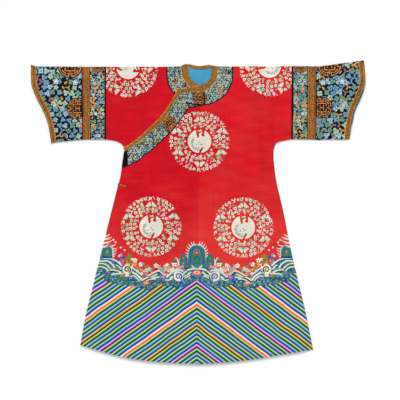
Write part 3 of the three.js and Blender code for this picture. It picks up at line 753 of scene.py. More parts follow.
def bat(size):
    """A small bat with curved wings."""
    half = [(0, 0.5), (0.25, 0.3), (0.6, 0.62), (1, 0.3), (0.75, 0.1), (0.45, 0.05), (0.2, -0.35),
            (0, -0.2)]
    wings = [(x * size, y * size) for x, y in half]
    return [("orange", wings), ("orange", [(-x, y) for x, y in wings]),
            ("peach", oval(0, size * 0.12, size * 0.16, size * 0.3, 0, 7)),
            ("coral", strip([(size * 0.3, size * 0.15), (size * 0.7, size * 0.35)], size * 0.1)),
            ("coral", strip([(-size * 0.3, size * 0.15), (-size * 0.7, size * 0.35)], size * 0.1))]


def ribboned_staff(length):
    """A staff with looped ribbons, one of the small emblems between the leaves."""
    return [
        ("white", strip(arc(-7, length * 0.18, 5.5, 40, 300, 9), 2.4)),
        ("white", strip(arc(7, length * 0.1, 6, -120, 140, 9), 2.4)),
        ("sea_blue", strip([(-10, -length * 0.2), (-3, 0)], 3, 1.5)),
        ("peach", strip([(4, -length * 0.1), (12, -length * 0.3)], 3, 1.5)),
        ("gourd", strip([(0, -length * 0.5), (0, length * 0.5)], 4.6, 3.4)),
        ("yellow", strip([(0, -length * 0.4), (0, length * 0.2)], 1.6, 1.2)),
        ("orange", oval(0, length * 0.5, 4.2, 3, 0, 7)),
    ]


# Shares of leaves, gourds and curls in a field, each with those before it. The rest are sprays.
LEAVES_TO, GOURDS_TO, CURLS_TO = 0.83, 0.87, 0.9
# How far a leaf's place may stray, in shares of the spacing.
STRAY = 0.13


def vine_field(seed, area, spacing, radius, tones):
    """Leaves, gourds and flowers set close together over an area (x1, v1, x2, v2)."""
    rng = random.Random(seed)
    x1, v1, x2, v2 = area
    figures = []
    rows = int((v2 - v1) / (spacing * ROW_STEP)) + 2
    columns = int((x2 - x1) / spacing) + 2
    for j in range(rows):
        for i in range(columns):
            x = x1 + (i + 0.5 * (j % 2)) * spacing + rng.uniform(-STRAY, STRAY) * spacing
            v = v1 + j * spacing * ROW_STEP + rng.uniform(-STRAY, STRAY) * spacing
            size = radius * rng.uniform(0.9, 1.12)
            pick = rng.random()
            if pick < LEAVES_TO:
                figures += leaf_of_lobes(rng, x, v, size, tones)
            elif pick < GOURDS_TO:
                figures += gourd(rng, x, v, size * 0.72)
            elif pick < CURLS_TO:
                start = rng.uniform(0, 360)
                for thread, reach in (("white", 0.78), ("sky", 0.42)):
                    curl = arc(x, v, size * reach, start, start + 250, 8)
                    figures.append((thread, strip(curl, size * 0.2, size * 0.12)))
                figures.append(("gourd", oval(x, v, size * 0.16, count=6)))
            else:
                figures += small_leaves(rng, x, v, size * 1.2, rng.choice(("mauve", "tan", "blue")))
            if rng.random() < 0.4:
                at = (x + spacing * 0.5, v + rng.uniform(-3, 3))
                thread = rng.choice(("peach", "coral", "yellow", "white", "white"))
                figures.append((thread, oval(*at, radius * 0.14, radius * 0.1, 0.5, 6)))
    return figures


# ---- The hem: stripes of standing water, sea, mountains and foam ---------------------------
APEX_X = -5.5
# Upper edge of the stripes and of the sea above them, for the wearer's right half.
STRIPES_TOP = [
    (-620, -262), (-460, -278), (-434, -286), (-430, -318), (-382, -325), (-362, -334),
    (-340, -329), (-316, -342), (-296, -338), (-280, -348), (-253, -350), (-221, -362),
    (-203, -352), (-191, -343), (-167, -331), (-146, -343), (-125, -339), (-101, -349),
    (-65, -343), (-41, -325), (APEX_X, -316),
]
SEA_TOP = [
    (-620, -196), (-452, -207), (-415, -207), (-385, -216), (-349, -244), (-327, -241),
    (-303, -252), (-280, -266), (-258, -288), (-240, -300), (-222, -286), (-195, -272),
    (-176, -266), (-160, -282), (-142, -298), (-118, -273), (-80, -249), (-45, -255),
    (APEX_X, -258),
]
# Foam lines of the waves: points, width, and the thread of the water below each.
FOAM_LINES = [
    ([(-470, -209), (-445, -211), (-427, -213), (-406, -213), (-386, -219), (-368, -230),
      (-349, -247)], 6, "sea_blue"),
    ([(-470, -224), (-444, -226), (-421, -224), (-403, -233), (-389, -246), (-384, -258)], 6, "teal"),
    ([(-470, -238), (-452, -237), (-433, -238), (-415, -248), (-403, -261)], 5.5, "leaf_dark"),
    ([(-404, -266), (-386, -266), (-371, -270), (-354, -277)], 6, "leaf_dark"),
    ([(-398, -286), (-377, -283), (-356, -281), (-343, -285)], 5, "sea_light"),
    ([(-306, -253), (-286, -267), (-268, -281), (-256, -290)], 6, "sea_blue"),
    ([(-302, -277), (-283, -287), (-268, -300), (-255, -315)], 8, "teal"),
    ([(-257, -314), (-239, -303), (-219, -297), (-202, -296)], 6.5, "sea_deep"),
    ([(-222, -314), (-204, -303), (-180, -299)], 5.5, "sea_blue"),
    ([(-228, -294), (-210, -282), (-192, -273), (-176, -269)], 6.5, "leaf_dark"),
    ([(-178, -270), (-163, -283), (-148, -295), (-139, -301)], 5, "navy"),
    ([(-143, -298), (-131, -286), (-107, -268), (-78, -252), (-67, -249)], 7, "periwinkle"),
    ([(-129, -304), (-116, -295)], 5, "mint"),
    ([(-112, -283), (-96, -270), (-80, -266), (-68, -272)], 5, "sea_light"),
    ([(-69, -288), (-55, -272), (-37, -263), (-20, -260), (APEX_X, -260)], 7, "teal"),
    ([(-64, -295), (-46, -288), (-34, -277), (-25, -271)], 5, "green"),
    ([(-66, -267), (-51, -268), (-42, -274)], 2.6, "magenta"),
    ([(-470, -252), (-448, -251), (-425, -258), (-412, -272)], 4.5, "green"),
    ([(-376, -243), (-363, -251), (-352, -263)], 4.5, "green"),
    ([(-312, -297), (-296, -293), (-281, -303), (-268, -317)], 4.5, "sea_blue"),
    ([(-244, -323), (-228, -312), (-210, -308), (-195, -308)], 4.5, "leaf_dark"),
    ([(-213, -297), (-200, -289), (-186, -285)], 4.5, "sea_light"),
    ([(-152, -311), (-136, -313), (-119, -307)], 4.5, "teal"),
    ([(-62, -304), (-48, -298), (-36, -291)], 4.5, "sea_blue"),
]
# x, y, radius, thread of the spirals.
SPIRALS = [(-325.6, -263.8, 22, "leaf_dark"), (-89.5, -296, 22, "sea_blue")]
# x, y, half width, half height, rim, fill of the treasures in the water.
TREASURES = [
    (-351, -294, 14, 8, "brown", "olive"), (-239, -326, 15.5, 8.5, "coral", "peach"),
    (-160, -299, 13, 11, "purple", "lilac"), (-78, -253, 10, 6, "coral", "rose"),
    (-326, -291, 12, 6, "rose", "cream"), (APEX_X, -279, 21, 12, "coral", "rose"),
]
# x, y, size, thread of the larger flowers and leaves over the waves.
FLOATING = [
    (-354, -197, 9, "sea_light"), (-362, -202, 6, "white"), (-340, -208, 10, "sea_blue"),
    (-366, -219, 10, "sea_blue"), (-350, -222, 8, "periwinkle"), (-316, -203, 13, "leaf"),
    (-320, -221, 12, "leaf"), (-333, -212, 8, "sprig"), (-303, -217, 8, "cream"),
    (-289, -222, 13, "cream"), (-288, -240, 9, "gourd"), (-263, -240, 12, "white"),
    (-252, -238, 8, "lilac"), (-274, -258, 12, "olive"), (-240, -250, 7, "leaf"),
    (-229, -249, 6, "sprig"), (-224, -262, 13, "feather"), (-239, -268, 10, "mint"),
    (-193, -246, 12, "white"), (-178, -257, 10, "feather"), (-165, -262, 9, "sky"),
    (-152, -250, 9, "mint"), (-142, -243, 10, "white"), (-146, -262, 11, "rose"),
    (-130, -256, 9, "feather"), (-126, -238, 8, "sprig"), (-109, -240, 14, "white"),
    (-96, -247, 8, "rose"), (-118, -262, 8, "white"), (-158, -276, 9, "mint_deep"),
]
# Threads of the small blossoms and leaves over the waves, and middles of the pearls beside them.
BLOSSOM_HUES = (
    "white", "mint", "feather", "rose", "white", "mint_deep", "sprig", "leaf", "olive",
    "sea_light", "sea_blue", "peach", "coral", "lilac", "cream",
)
PEARLS = [(-379, -139), (-355, -163), (-337, -175), (-389, -128)]
# Threads and spacing of the small scales that fill the water.
MOSAIC = (
    "sea_blue", "periwinkle", "teal", "green", "sea_blue", "teal", "sea_light", "green_vein",
    "blue_vein", "teal", "green", "blue", "grey_green",
)
CELL = 8.8
WATER_BOX = (-560, -365, 540, -175)


def arch(x, base, width, height):
    """A mountain's outline with a round top."""
    half = width / 2
    top = base + height - half * 0.9
    return [(x - half * 1.16, base), (x - half * 1.04, base + height * 0.3),
            *arc(x, top, half, 180, 0, 11), (x + half * 1.04, base + height * 0.3),
            (x + half * 1.16, base)]


def nested(x, base, width, height, bands):
    """Arches one in another, each with its distance from the outermost."""
    return [(thread, arch(x, base, width - 2 * margin, height - margin * 1.15))
            for margin, thread in bands]


def spiral(x, y, radius, thread):
    figures = [("cream", oval(x, y, radius, count=20))]
    line = []
    for i in range(19):
        r = radius * 0.76 * (1 - i / 21)
        a = math.radians(-60 + 31 * i)
        line.append((x + r * math.cos(a), y + r * math.sin(a)))
    figures.append((thread, strip(line, 7.4, 4)))
    return figures


def both_halves(line):
    return [*line, *[(2 * APEX_X - x, y) for x, y in reversed(line[:-1])]]


def finger(x, y, degrees, length, bend=30, width=5.2):
    """A finger of foam from (x, y), bent upwards."""
    a, b = math.radians(degrees), math.radians(degrees - bend)
    middle = (x + length * 0.5 * math.cos(a), y + length * 0.5 * math.sin(a))
    end = (middle[0] + length * 0.5 * math.cos(b), middle[1] + length * 0.5 * math.sin(b))
    return ("white", strip([(x, y), middle, end], width, width * 0.3))


def half_mountains():
    """The mountain at the side seam, the small one beside the middle, and their foam."""
    x, base, width, height = -419, -212, 50, 54
    figures = nested(x, base, width, height, (
        (0, "periwinkle"), (2.4, "teal"), (5, "green"), (8.4, "sea_blue"), (9.8, "green"),
        (13, "teal"), (14.6, "green")))
    figures += [
        ("sea_deep", [(-450, -213), (-450, -206), (-430, -202), (-412, -205), (-392, -203),
                      (-391, -213)]),
        ("coral", oval(-417, -183, 5, 8, count=9)), ("orange", oval(-417, -182, 2.6, 4.5, count=7)),
        ("magenta", oval(-427, -198, 5, 4, count=7)), ("magenta", oval(-409, -198, 5, 3.4, count=7)),
        ("mint", strip([(-405, -156), (-395, -160), (-391, -178), (-391, -209)], 5.5, 3.5)),
    ]
    for x, y, degrees, length in (
        (-397, -155, 6, 22), (-392, -168, -6, 22), (-391, -182, 10, 22), (-391, -195, 12, 19),
        (-391, -206, 22, 13),
    ):
        figures.append(finger(x, y, degrees, length, -34 if y > -200 else -20))
    for x, y, degrees, length in (
        (-434, -114, 16, 32), (-434, -125, 8, 40), (-436, -143, 10, 44), (-438, -160, 14, 30),
    ):
        figures.append(("rose", strip([(x, y - 3.5), (x + length * 0.8, y - 1)], 3, 1)))
        figures.append(finger(x, y, degrees, length, -12, 7.5))
    figures += nested(-66.5, -247, 33, 52, (
        (0, "teal"), (2.6, "sea_blue"), (4.4, "green"), (8.5, "teal"), (10, "green")))
    figures += [
        ("coral", oval(-67, -212, 2.8, 4.4, count=7)),
        ("magenta", strip([(-74, -238), (-71, -229), (-67, -226), (-63, -229), (-60, -238)], 4)),
        ("sea_light", oval(-67, -238, 3.4, 5, count=7)),
        ("cream", strip([(-89, -243), (-92, -226), (-97, -214), (-104, -209)], 5.5, 3)),
        ("cream", strip([(-87, -247), (-88, -230), (-87, -214)], 3, 2)),
        ("sea_deep", strip([(-116, -229), (-96, -229)], 8)),
        ("sea_blue", strip([(-114, -227), (-98, -227)], 3.5)),
        ("sprig", oval(-106, -219, 9, 4.5, count=9)), ("leaf", oval(-103, -218, 4, 2.2, count=7)),
    ]
    return figures


def middle_mountain():
    base = -258
    x = APEX_X
    foam = [("mint", strip(curved([(x, -151), (-26, -155), (-37, -167), (-43, -184), (-47, -212)], 3),
                           5.5, 4))]
    for at in ((-13, -152, 128, 19), (-22, -153, 138, 20), (-31, -160, 146, 20),
               (-37, -170, 152, 20), (-41, -181, 158, 19), (-44, -193, 162, 17), (-46, -204, 166, 13)):
        foam.append(finger(*at))
    figures = foam + mirrored(foam, x)
    figures += nested(x, base, 79, 103, (
        (0, "periwinkle"), (2.2, "teal"), (4.4, "green"), (7.4, "sea_blue"), (8.8, "green"),
        (11.4, "teal"), (13.4, "sea_blue"), (14.8, "green"), (18.6, "teal"), (20.4, "green")))
    for rim, level, width, height, fills in (
        ("coral", -199, 27, 28, ("sea_blue", "sea_light")),
        ("brown", -222, 44, 29, ("green", "sea_blue", "green", "sprig")),
    ):
        figures.append((rim, arch(x, level, width, height)))
        for i, fill in enumerate(fills):
            step = 4.4 * (i + 1)
            figures.append((fill, arch(x, level - 0.5, width - 2 * step, height - 1.1 * step)))
    for side in (-1, 1):
        figures += [
            ("green", box(x - 22 * side, -224, x - 20 * side, -218)),
            ("sea_blue", strip([(x + side * 30, -214), (x + side * 34, -252)], 2.6)),
            ("teal", strip([(x + side * 10, -226), (x + side * 18, -252)], 3)),
            ("magenta", oval(x + side * 21, -233, 4.5, 7, 0, 8)),
            ("purple", oval(x + side * 21, -232, 2.2, 4, 0, 7)),
            ("sea_blue", strip([(x + side * 4, -229), (x + side * 8, -246)], 3)),
            ("cream", strip([(x + side * 23, -246), (x + side * 9, -258)], 5, 3)),
            ("yellow", strip([(x + side * 27, -243), (x + side * 16, -257)], 2.4)),
        ]
    figures += [("periwinkle", oval(x, -246, 8.5, 6, 0, 10)), ("sea_deep", oval(x, -247, 5, 3.4, 0, 8)),
                ("periwinkle", oval(x + 1, -247, 2.4, 1.6, 0, 6))]
    return figures


def sea(seed):
    """Everything woven above the stripes of the hem, from side seam to side seam."""
    rng = random.Random(seed)
    top = both_halves(curved(SEA_TOP, 3))
    low = both_halves(STRIPES_TOP)
    water = between(top, low)
    figures = [("sea_deep", water)]
    x1, y1, x2, y2 = WATER_BOX
    for j in range(int((y2 - y1) / (CELL * ROW_STEP))):
        for i in range(int((x2 - x1) / CELL)):
            x = x1 + (i + 0.5 * (j % 2)) * CELL + rng.uniform(-1.2, 1.2)
            y = y1 + j * CELL * ROW_STEP + rng.uniform(-1.2, 1.2)
            if is_inside(x, y + 4, water) and is_inside(x, y - 3, water):
                thread = rng.choice(MOSAIC)
                figures.append((thread, lobed(x, y, CELL * 0.53, 3, 0.1, rng.uniform(0, 2), 3)))
                if rng.random() < 0.6:
                    dot = rng.choice(("olive", "peach", "olive", "leaf", "tan", "pale_green"))
                    figures.append((dot, oval(x + rng.uniform(-2, 2), y, 2.6, 2.1, count=5)))
    figures.append(("stripes", [*low, (620, -800), (-620, -800)]))
    half = []
    for i in range(64):
        x = -372 + 310 * i / 64 + rng.uniform(-5, 5)
        level = np.interp(x, *zip(*SEA_TOP))
        y = level + rng.uniform(-3, 24 if x < -130 else 12)
        size = rng.uniform(4.5, 7)
        thread = rng.choice(BLOSSOM_HUES)
        if i % 3:
            half += [(thread, blade(x, y, size * 1.4, size * 0.8, a + i)) for a in (0.4, 2.5, 4.6)]
        else:
            half.append((thread, lobed(x, y, size, 5, 0.16, 0.1 * i, 3)))
            half.append((rng.choice(("yellow", "leaf_dark", "coral")), oval(x, y, 1.8, count=5)))
    for x, y, size, petals in FLOATING:
        half += [(petals, blade(x, y, size, size * 0.6, a)) for a in (0.4, 1.6, 2.8, 4.1, 5.3)]
        thread = rng.choice(("yellow", "feather_dark", "coral", "leaf_dark"))
        half.append((thread, oval(x, y, size * 0.22, count=6)))
    for line, width, fill in FOAM_LINES:
        line = curved(line, 3) if len(line) > 2 else line
        half.append((fill, strip([(x, y - width * 0.85) for x, y in line], width * 1.1)))
        if width > 4:
            half.append(("cream", strip(line, width * 0.95, width * 1.15)))
        if width > 5.4:
            half.append(("mint", strip([(x, y + width * 0.2) for x, y in line[1:-1]], 1.5)))
    for row in SPIRALS:
        half += spiral(*row)
    for x, y, rx, ry, rim, fill in TREASURES[:-1]:
        half.append((rim, oval(x, y, rx, ry, count=14)))
        half.append((fill, oval(x, y + 1, rx * 0.72, ry * 0.66, count=10)))
    half += [("white", oval(x, y, 4.2, count=8)) for x, y in PEARLS]
    half += half_mountains()
    figures += half + mirrored(half, APEX_X)
    figures += middle_mountain()
    x, y, rx, ry, rim, fill = TREASURES[-1]
    for side in (-1, 1):
        figures.append(("sea_blue", oval(x + side * 20, y + 7, 7, 4, side * -0.5, 8)))
    figures += [(rim, oval(x, y, rx, ry, count=16)), (fill, oval(x, y + 1, rx * 0.75, ry * 0.7, count=12)),
                ("coral", oval(x, y, rx * 0.3, ry * 0.3, count=7))]
    return figures


# ---- Figures of each piece, in the unfolded plan -------------------------------------------
CHEST = (7, 325)
LOWER_RIGHT = (-215, -67)
LOWER_LEFT = (208, -71)
SHOULDERS = {"right": (-321, 665), "left": (328, 671)}
# Y between which the side seams show as a dark line.
SEAM_FROM, SEAM_TO = -90, 312


def on_back(figures):
    return [(thread, turned_back(points)) for thread, points in figures]


def robe_figures():
    """Roundels and hem of the whole robe, front and back."""
    figures = sea(11) + on_back(sea(12))
    for i, at in enumerate((CHEST, LOWER_RIGHT, LOWER_LEFT)):
        figures += placed(roundel(21 + i), *at)
        figures += on_back(placed(roundel(31 + i), *at))
    for i, (side, turn) in enumerate((("right", -math.pi / 2), ("left", math.pi / 2))):
        figures += placed(roundel(41 + i), *SHOULDERS[side], turn)
    for side in (right_side, left_side):
        seam = [(x, y) for x, y in side if SEAM_FROM < y < SEAM_TO]
        figures += edge_lines(seam, [(-2.5, 2.5, "crimson_line")])
    return figures


def edge_lines(line, rows):
    """Lanes along a line in front and behind: rows of near, far, thread."""
    figures = []
    for near, far, thread in rows:
        strip_ = lane(line, near, far)
        figures.append((thread, strip_))
        figures.append((thread, turned_back(strip_)))
    return figures


def sleeve_edges(side):
    """Lanes along the seams across a sleeve."""
    seams = {name: seam_line(seam) for name, seam in SLEEVE_SEAMS[side].items()}
    out = -1 if side == "right" else 1
    return {
        "band": edge_lines(seams["body"], [(0, out * 6, "black"), (out * 6, out * 8, "copper_dark")])
        + edge_lines(seams["trim"], [(0, -out * 4, "black")]),
        "trim": edge_lines(seams["trim"], [(0, out * 2.8, "orange"), (out * 2.8, out * 5, "gold_dark")])
        + edge_lines(seams["cuff"], [(0, -out * 3, "coral"), (-out * 3, -out * 5.4, "gold_dark")]),
        "cuff": edge_lines(seams["cuff"], [(0, out * 4.5, "black")]),
    }


def cuff_trim_lanes(edge, sign):
    return edge_lines(edge, [
        (sign * 0, sign * 3, "gold_dark"), (sign * 3, sign * 5.4, "gold_line"),
        (sign * 11.5, sign * 13.6, "gold_dark"), (sign * 21.2, sign * 25, "orange"),
        (sign * 19.6, sign * 21.2, "gold_dark"),
    ])


def neck_figures(seed):
    """Small leaves set close, with an orange bird's tail in the bend of the neckband."""
    field = vine_field(seed, (-330, 180, 170, 760), 12, 6, "fine")
    return field + [
        ("copper", strip([(88, 590), (97, 567), (105, 536)], 8, 4)),
        ("tan", strip([(112, 592), (110, 567), (106, 540)], 5, 3)),
        ("copper", oval(107, 533, 6, 3.2, 0.2, 8)), ("gourd", oval(-113, 590, 7, 5, 0, 8)),
        ("orange", oval(-104, 583, 4, 3, 0, 8)), ("gourd", oval(-89, 617, 5, 4, 0, 8)),
        ("tan", strip([(-88, 497), (-68, 484), (-58, 489)], 4.5, 3)),
        ("copper", strip([(-92, 484), (-74, 473), (-62, 476)], 4.5, 3)),
        ("gourd", oval(-188, 341, 9, 4, 0.9, 8)), ("gourd", oval(-178, 348, 8, 4, 0.2, 8)),
        ("gourd", oval(-218, 318, 6, 4, 0, 8)),
    ]


robe = robe_figures()
figures_of = {name: robe for name in ("body_left", "body_right", "overlap_front")}
neck_medallions = placed(medallion(32), 9, 521) + placed(medallion(32), -133, 408, 0.7)
back_medallion = on_back(placed(medallion(30), 8, 618))
neck_lines = [
    ("black", lane(left_neckband_edge, 1, -5)), ("black", lane(lapel_band_edge, 1, -5)),
    ("black", lane(right_neckband_front[1:-2], -1, 5.5)),
    ("black", turned_back(lane(neckband_back[1:-1], -1, 5.5))),
]
figures_of["neckband_left"] = neck_figures(51) + neck_medallions + neck_lines + back_medallion
figures_of["neckband_right"] = neck_figures(52) + back_medallion + neck_lines[2:]
figures_of["lapel_band"] = neck_figures(53) + neck_medallions + neck_lines[:2]
figures_of["lapel_trim"] = [
    ("gold_line", lane(lapel_trim_upper, 0, 3)), ("gold_line", lane(lapel_trim_lower, 0, -3)),
    ("gold_dark", lane(lapel_trim_upper, 3, 5)), ("gold_dark", lane(lapel_trim_lower, -3, -5)),
]
ring_lanes = [
    ("gold_line", lane(binding_front, 0, 4.5)), ("gold_dark", lane(binding_front, 4.5, 6.5)),
    ("gold_line", lane([*neck_opening, neck_opening[0]], 0, -4)),
    ("gold_dark", lane([*neck_opening, neck_opening[0]], -9, -11)),
]
figures_of["neck_binding_left"] = ring_lanes
figures_of["neck_binding_right"] = ring_lanes
# Small emblems between the leaves of the left sleeve: what, x, v, turn, size.
EMBLEMS = [
    (bat, 721, 676, 0.3, 15), (bat, 484, 567, 1.8, 17), (bat, 546, 392, 0.4, 12),
    (bat, 636, 905, 2.4, 15), (bat, 470, 790, 0.9, 16),
    (ribboned_staff, 660, 496, -0.72, 66), (ribboned_staff, 642, 840, 0.6, 52),
    (curled_flower, 662, 600, 0, 15), (curled_flower, 574, 595, 0, 15),
    (curled_flower, 668, 490, 0, 11), (curled_flower, 700, 690, 0, 13),
    (curled_flower, 626, 770, 0, 14), (curled_flower, 462, 640, 0, 10),
    (curled_flower, 480, 452, 0, 10), (curled_flower, 690, 880, 0, 14),
]
left_emblems = [figure for draw, x, v, turn, size in EMBLEMS
                for figure in placed(draw(size), x, v, turn)]
left_emblems += [("orange", strip([(478, 494), (506, end)], 6, 4)) for end in (510, 479)]
# Of each sleeve: its cuff's edge, 1 if the cloth lies to the left of that line, X of the middles
# of the leaves on cuff and band, sizes of those leaves, medallions, dark corners of the edge.
SLEEVES = {
    "right": {
        "edge": right_cuff_edge, "sign": 1, "middles": (-600, -422), "leaves": (13.4, 9.8),
        "emblems": mirrored(left_emblems, 5), "medals": ((-588, 672, 54), (-553, 476, 47)),
        "corners": ((-764, 678, 13, 10), (-671, 314, 10, 5)),
    },
    "left": {
        "edge": left_cuff_edge, "sign": -1, "middles": (600, 432), "leaves": (15, 10.6),
        "emblems": left_emblems, "medals": ((605, 677, 55), (569, 480, 47)),
        "corners": ((757, 698, 12, 9), (692, 333, 10, 6)),
    },
}


def sleeve_field(seed, middle, half, spacing, leaf, tones):
    return vine_field(seed, (middle - half, 300, middle + half, 1040), spacing, leaf, tones)


for side, sleeve in SLEEVES.items():
    sign = sleeve["sign"]
    lines = sleeve_edges(side)
    cuff_middle, band_middle = sleeve["middles"]
    field = sleeve_field(61 + sign, cuff_middle, 180, 28.5, sleeve["leaves"][0], "wide")
    band = sleeve_field(71 + sign, band_middle, 100, 19.5, sleeve["leaves"][1], "band")
    field += sleeve["emblems"]
    band += sleeve["emblems"] + placed(medallion(29), band_middle - sign * 38, 668)
    for x, v, radius in sleeve["medals"]:
        field += placed(medallion(radius), x, v)
        if v < 600:
            field += on_back(placed(medallion(radius), x, v))
    if side == "left":
        field.append(("black", strip([(718, 692), (770, 698)], 8)))
    corners = [("black", oval(*corner, 0, 10)) for corner in sleeve["corners"]]
    figures_of[f"cuff_{side}"] = field + lines["cuff"]
    figures_of[f"sleeve_band_{side}"] = band + lines["band"]
    figures_of[f"sleeve_trim_{side}"] = lines["trim"]
    figures_of[f"cuff_trim_{side}"] = cuff_trim_lanes(sleeve["edge"], sign) + corners

# ---- Pieces: ground thread, grid, layer, front and back as (inside, outside) outlines ------
PIECES = {
    "body_left": ("crimson", 12, True,
                  ([up_to(left_body, CENTRE_SEAM)], [left_neckband_front, neck_area]),
                  ([up_to(left_body, CENTRE_SEAM)], [neckband_back])),
    "body_right": ("crimson_deep", 12, False,
                   ([up_to(right_body, UNDERLAP_EDGE)], [right_neckband_front]),
                   ([up_to(right_body, CENTRE_SEAM)], [neckband_back])),
    "overlap_front": ("crimson_deep", 12, True,
                      ([box(-FAR, -FAR, CENTRE_SEAM, FAR), below_lapel], [left_neckband_front]),
                      None),
    "neckband_left": ("navy", 9, True,
                      ([left_neckband_front, neck_side], [lapel_trim_outline, left_binding_front]),
                      ([neckband_back, box(CENTRE_SEAM, 0, FAR, FAR)], [binding_back])),
    "neckband_right": ("navy", 9, False,
                       ([right_neckband_front, box(-FAR, 0, UNDERLAP_EDGE, FAR)], [binding_front]),
                       ([neckband_back, box(-FAR, 0, CENTRE_SEAM, FAR)], [binding_back])),
    "lapel_band": ("navy", 9, True,
                   ([left_neckband_front], [lapel_trim_outline, neck_side, lapel_end]), None),
    "lapel_end": ("black", 6, True, ([left_neckband_front, lapel_end], [lapel_trim_outline]), None),
    "lapel_trim": ("gold", 6, True, ([lapel_trim_outline], []), None),
    "neck_binding_left": ("gold", 6, True, ([left_binding_front], [neck_opening]),
                          ([binding_back, neck_seam_right], [])),
    "neck_binding_right": ("gold", 6, False, ([binding_front, neck_seam_left], [neck_opening]),
                           ([binding_back, neck_seam_left], [])),
}
for side, sleeve in SLEEVES.items():
    sign = sleeve["sign"]
    inner = trim_line(sleeve["edge"], sign)
    seams = SLEEVE_SEAMS[side]
    beyond = [(-sign * FAR, FAR), (-sign * FAR, SLEEVE_LOW)]
    for name, ground, grid, outline in (
        ("sleeve_band", "navy", 9, between(seam_line(seams["trim"]), seam_line(seams["body"]))),
        ("sleeve_trim", "gold", 8, between(seam_line(seams["cuff"]), seam_line(seams["trim"]))),
        ("cuff", "navy", 11, between(inner, seam_line(seams["cuff"]))),
        ("cuff_trim", "gold", 7, between(beyond, inner)),
    ):
        halves = ([outline], [])
        PIECES[f"{name}_{side}"] = (ground, grid, False, halves, halves)

# Lines of points along the shoulder fold, in shares of its radius.
FOLD_ROWS = (-1, -0.75, -0.5, -0.25, 0.25, 0.5, 0.75, 1)
CUT_ACCURACY = 0.01
LONGEST_EDGE = 12


def stepped(points):
    """A closed outline with more points, so that no edge of it is long."""
    result = []
    for (x1, y1), (x2, y2) in zip(points, [*points[1:], points[0]]):
        parts = max(1, math.ceil(math.hypot(x2 - x1, y2 - y1) / LONGEST_EDGE))
        result += [(x1 + (x2 - x1) * i / parts, y1 + (y2 - y1) * i / parts) for i in range(parts)]
    return result


class Cut:
    """Triangles of one piece in the unfolded plan, cut along its figures."""

    def __init__(self, outlines, figures, grid, area, lines=()):
        self.points = []
        self.faces = []
        self.edges = []
        x1, v1, x2, v2 = area
        for line in lines:
            start = len(self.points)
            self.points += line
            self.edges += [(start + i, start + i + 1) for i in range(len(line) - 1)]
        for j in range(int((v2 - v1) / grid / ROW_STEP) + 2):
            for i in range(int((x2 - x1) / grid) + 2):
                self.points.append((x1 + (i + 0.5 * (j % 2)) * grid, v1 + j * grid * ROW_STEP))
        self.bare_points = len(self.points)
        self.tests = [([self.face(o) for o in inside], [self.face(o) for o in outside])
                      for inside, outside in outlines]
        self.outline_faces = len(self.faces)
        self.threads = []
        self.boxes = []
        for thread, points in figures:
            xs, vs = zip(*points)
            if max(xs) > x1 and min(xs) < x2 and max(vs) > v1 and min(vs) < v2:
                self.face(points)
                self.threads.append(thread)
                self.boxes.append((min(xs), min(vs), max(xs), max(vs)))

    def face(self, points):
        points = stepped(list(points) if turn_area(list(points)) > 0 else list(reversed(points)))
        start = len(self.points)
        self.points += points
        self.faces.append(list(range(start, start + len(points))))
        return len(self.faces) - 1

    def thread_at(self, place, ids):
        """The thread of the last figure drawn at a place, "ground" if there is none."""
        for top in sorted((i - self.outline_faces for i in ids), reverse=True):
            if top < 0:
                break
            x1, v1, x2, v2 = self.boxes[top]
            if x1 <= place.x <= x2 and v1 <= place.y <= v2:
                return self.threads[top]
        return "ground"

    def outer(self):
        """The cut with its figures: plan, corners, halves (0 front, 1 back) and threads."""
        points, _, triangles, _, _, found = delaunay_2d_cdt(
            [Vector(p) for p in self.points], self.edges, self.faces, 0, CUT_ACCURACY, True)
        corners, halves, threads = [], [], []
        for triangle, ids in zip(triangles, found):
            ids = set(ids)
            for half, (inside, outside) in enumerate(self.tests):
                if ids.issuperset(inside) and ids.isdisjoint(outside):
                    middle = sum((points[i] for i in triangle), Vector((0, 0))) / 3
                    corners.append(triangle)
                    halves.append(half)
                    threads.append(self.thread_at(middle, ids))
                    break
        used, corners = np.unique(np.array(corners), return_inverse=True)
        plan = np.array([tuple(points[i]) for i in used])
        return plan, corners.reshape(-1, 3), np.array(halves), threads

    def inner(self, plan, rim):
        """The cut without its figures, inside the rim, and where the rim's points are in it."""
        loops = rim_loops(rim)
        points = list(self.points[:self.bare_points])
        faces, signs, rim_points = [], [], []
        for loop in loops:
            outline = [tuple(plan[i]) for i in loop]
            start = len(points)
            points += outline
            rim_points += loop
            order = range(start, start + len(loop))
            is_outer = turn_area(outline) > 0
            faces.append(list(order if is_outer else reversed(order)))
            signs.append(1 if is_outer else -1)
        points, _, triangles, sources, _, found = delaunay_2d_cdt(
            [Vector(p) for p in points], self.edges, faces, 0, CUT_ACCURACY / 10, True)
        kept = [t for t, ids in zip(triangles, found) if sum(signs[i] for i in ids) > 0]
        used, corners = np.unique(np.array(kept), return_inverse=True)
        bare = np.array([tuple(points[i]) for i in used])
        place = {}
        for i, old in enumerate(used):
            for source in sources[old]:
                if source >= self.bare_points:
                    place[rim_points[source - self.bare_points]] = i
        corners = corners.reshape(-1, 3)
        middle = bare[corners].mean(axis=1)
        halves = (middle[:, 1] > fold_y(middle[:, 0])).astype(int)
        return bare, corners, halves, place


def rim_loops(rim):
    """Closed loops of points out of directed edges."""
    following = {}
    for start, end in rim.tolist():
        following.setdefault(start, []).append(end)
    loops = []
    while following:
        loop = [next(iter(following))]
        while True:
            ahead = following[loop[-1]].pop()
            if not following[loop[-1]]:
                del following[loop[-1]]
            if ahead == loop[0]:
                break
            loop.append(ahead)
        loops.append(loop)
    return loops


def linked(name, data):
    """A new object in the scene."""
    thing = bpy.data.objects.new(name, data)
    bpy.context.scene.collection.objects.link(thing)
    return thing


UV_MARGIN = 6
# Share of the texture's square that the unwrapped pieces fill.
UV_FILL = 0.998
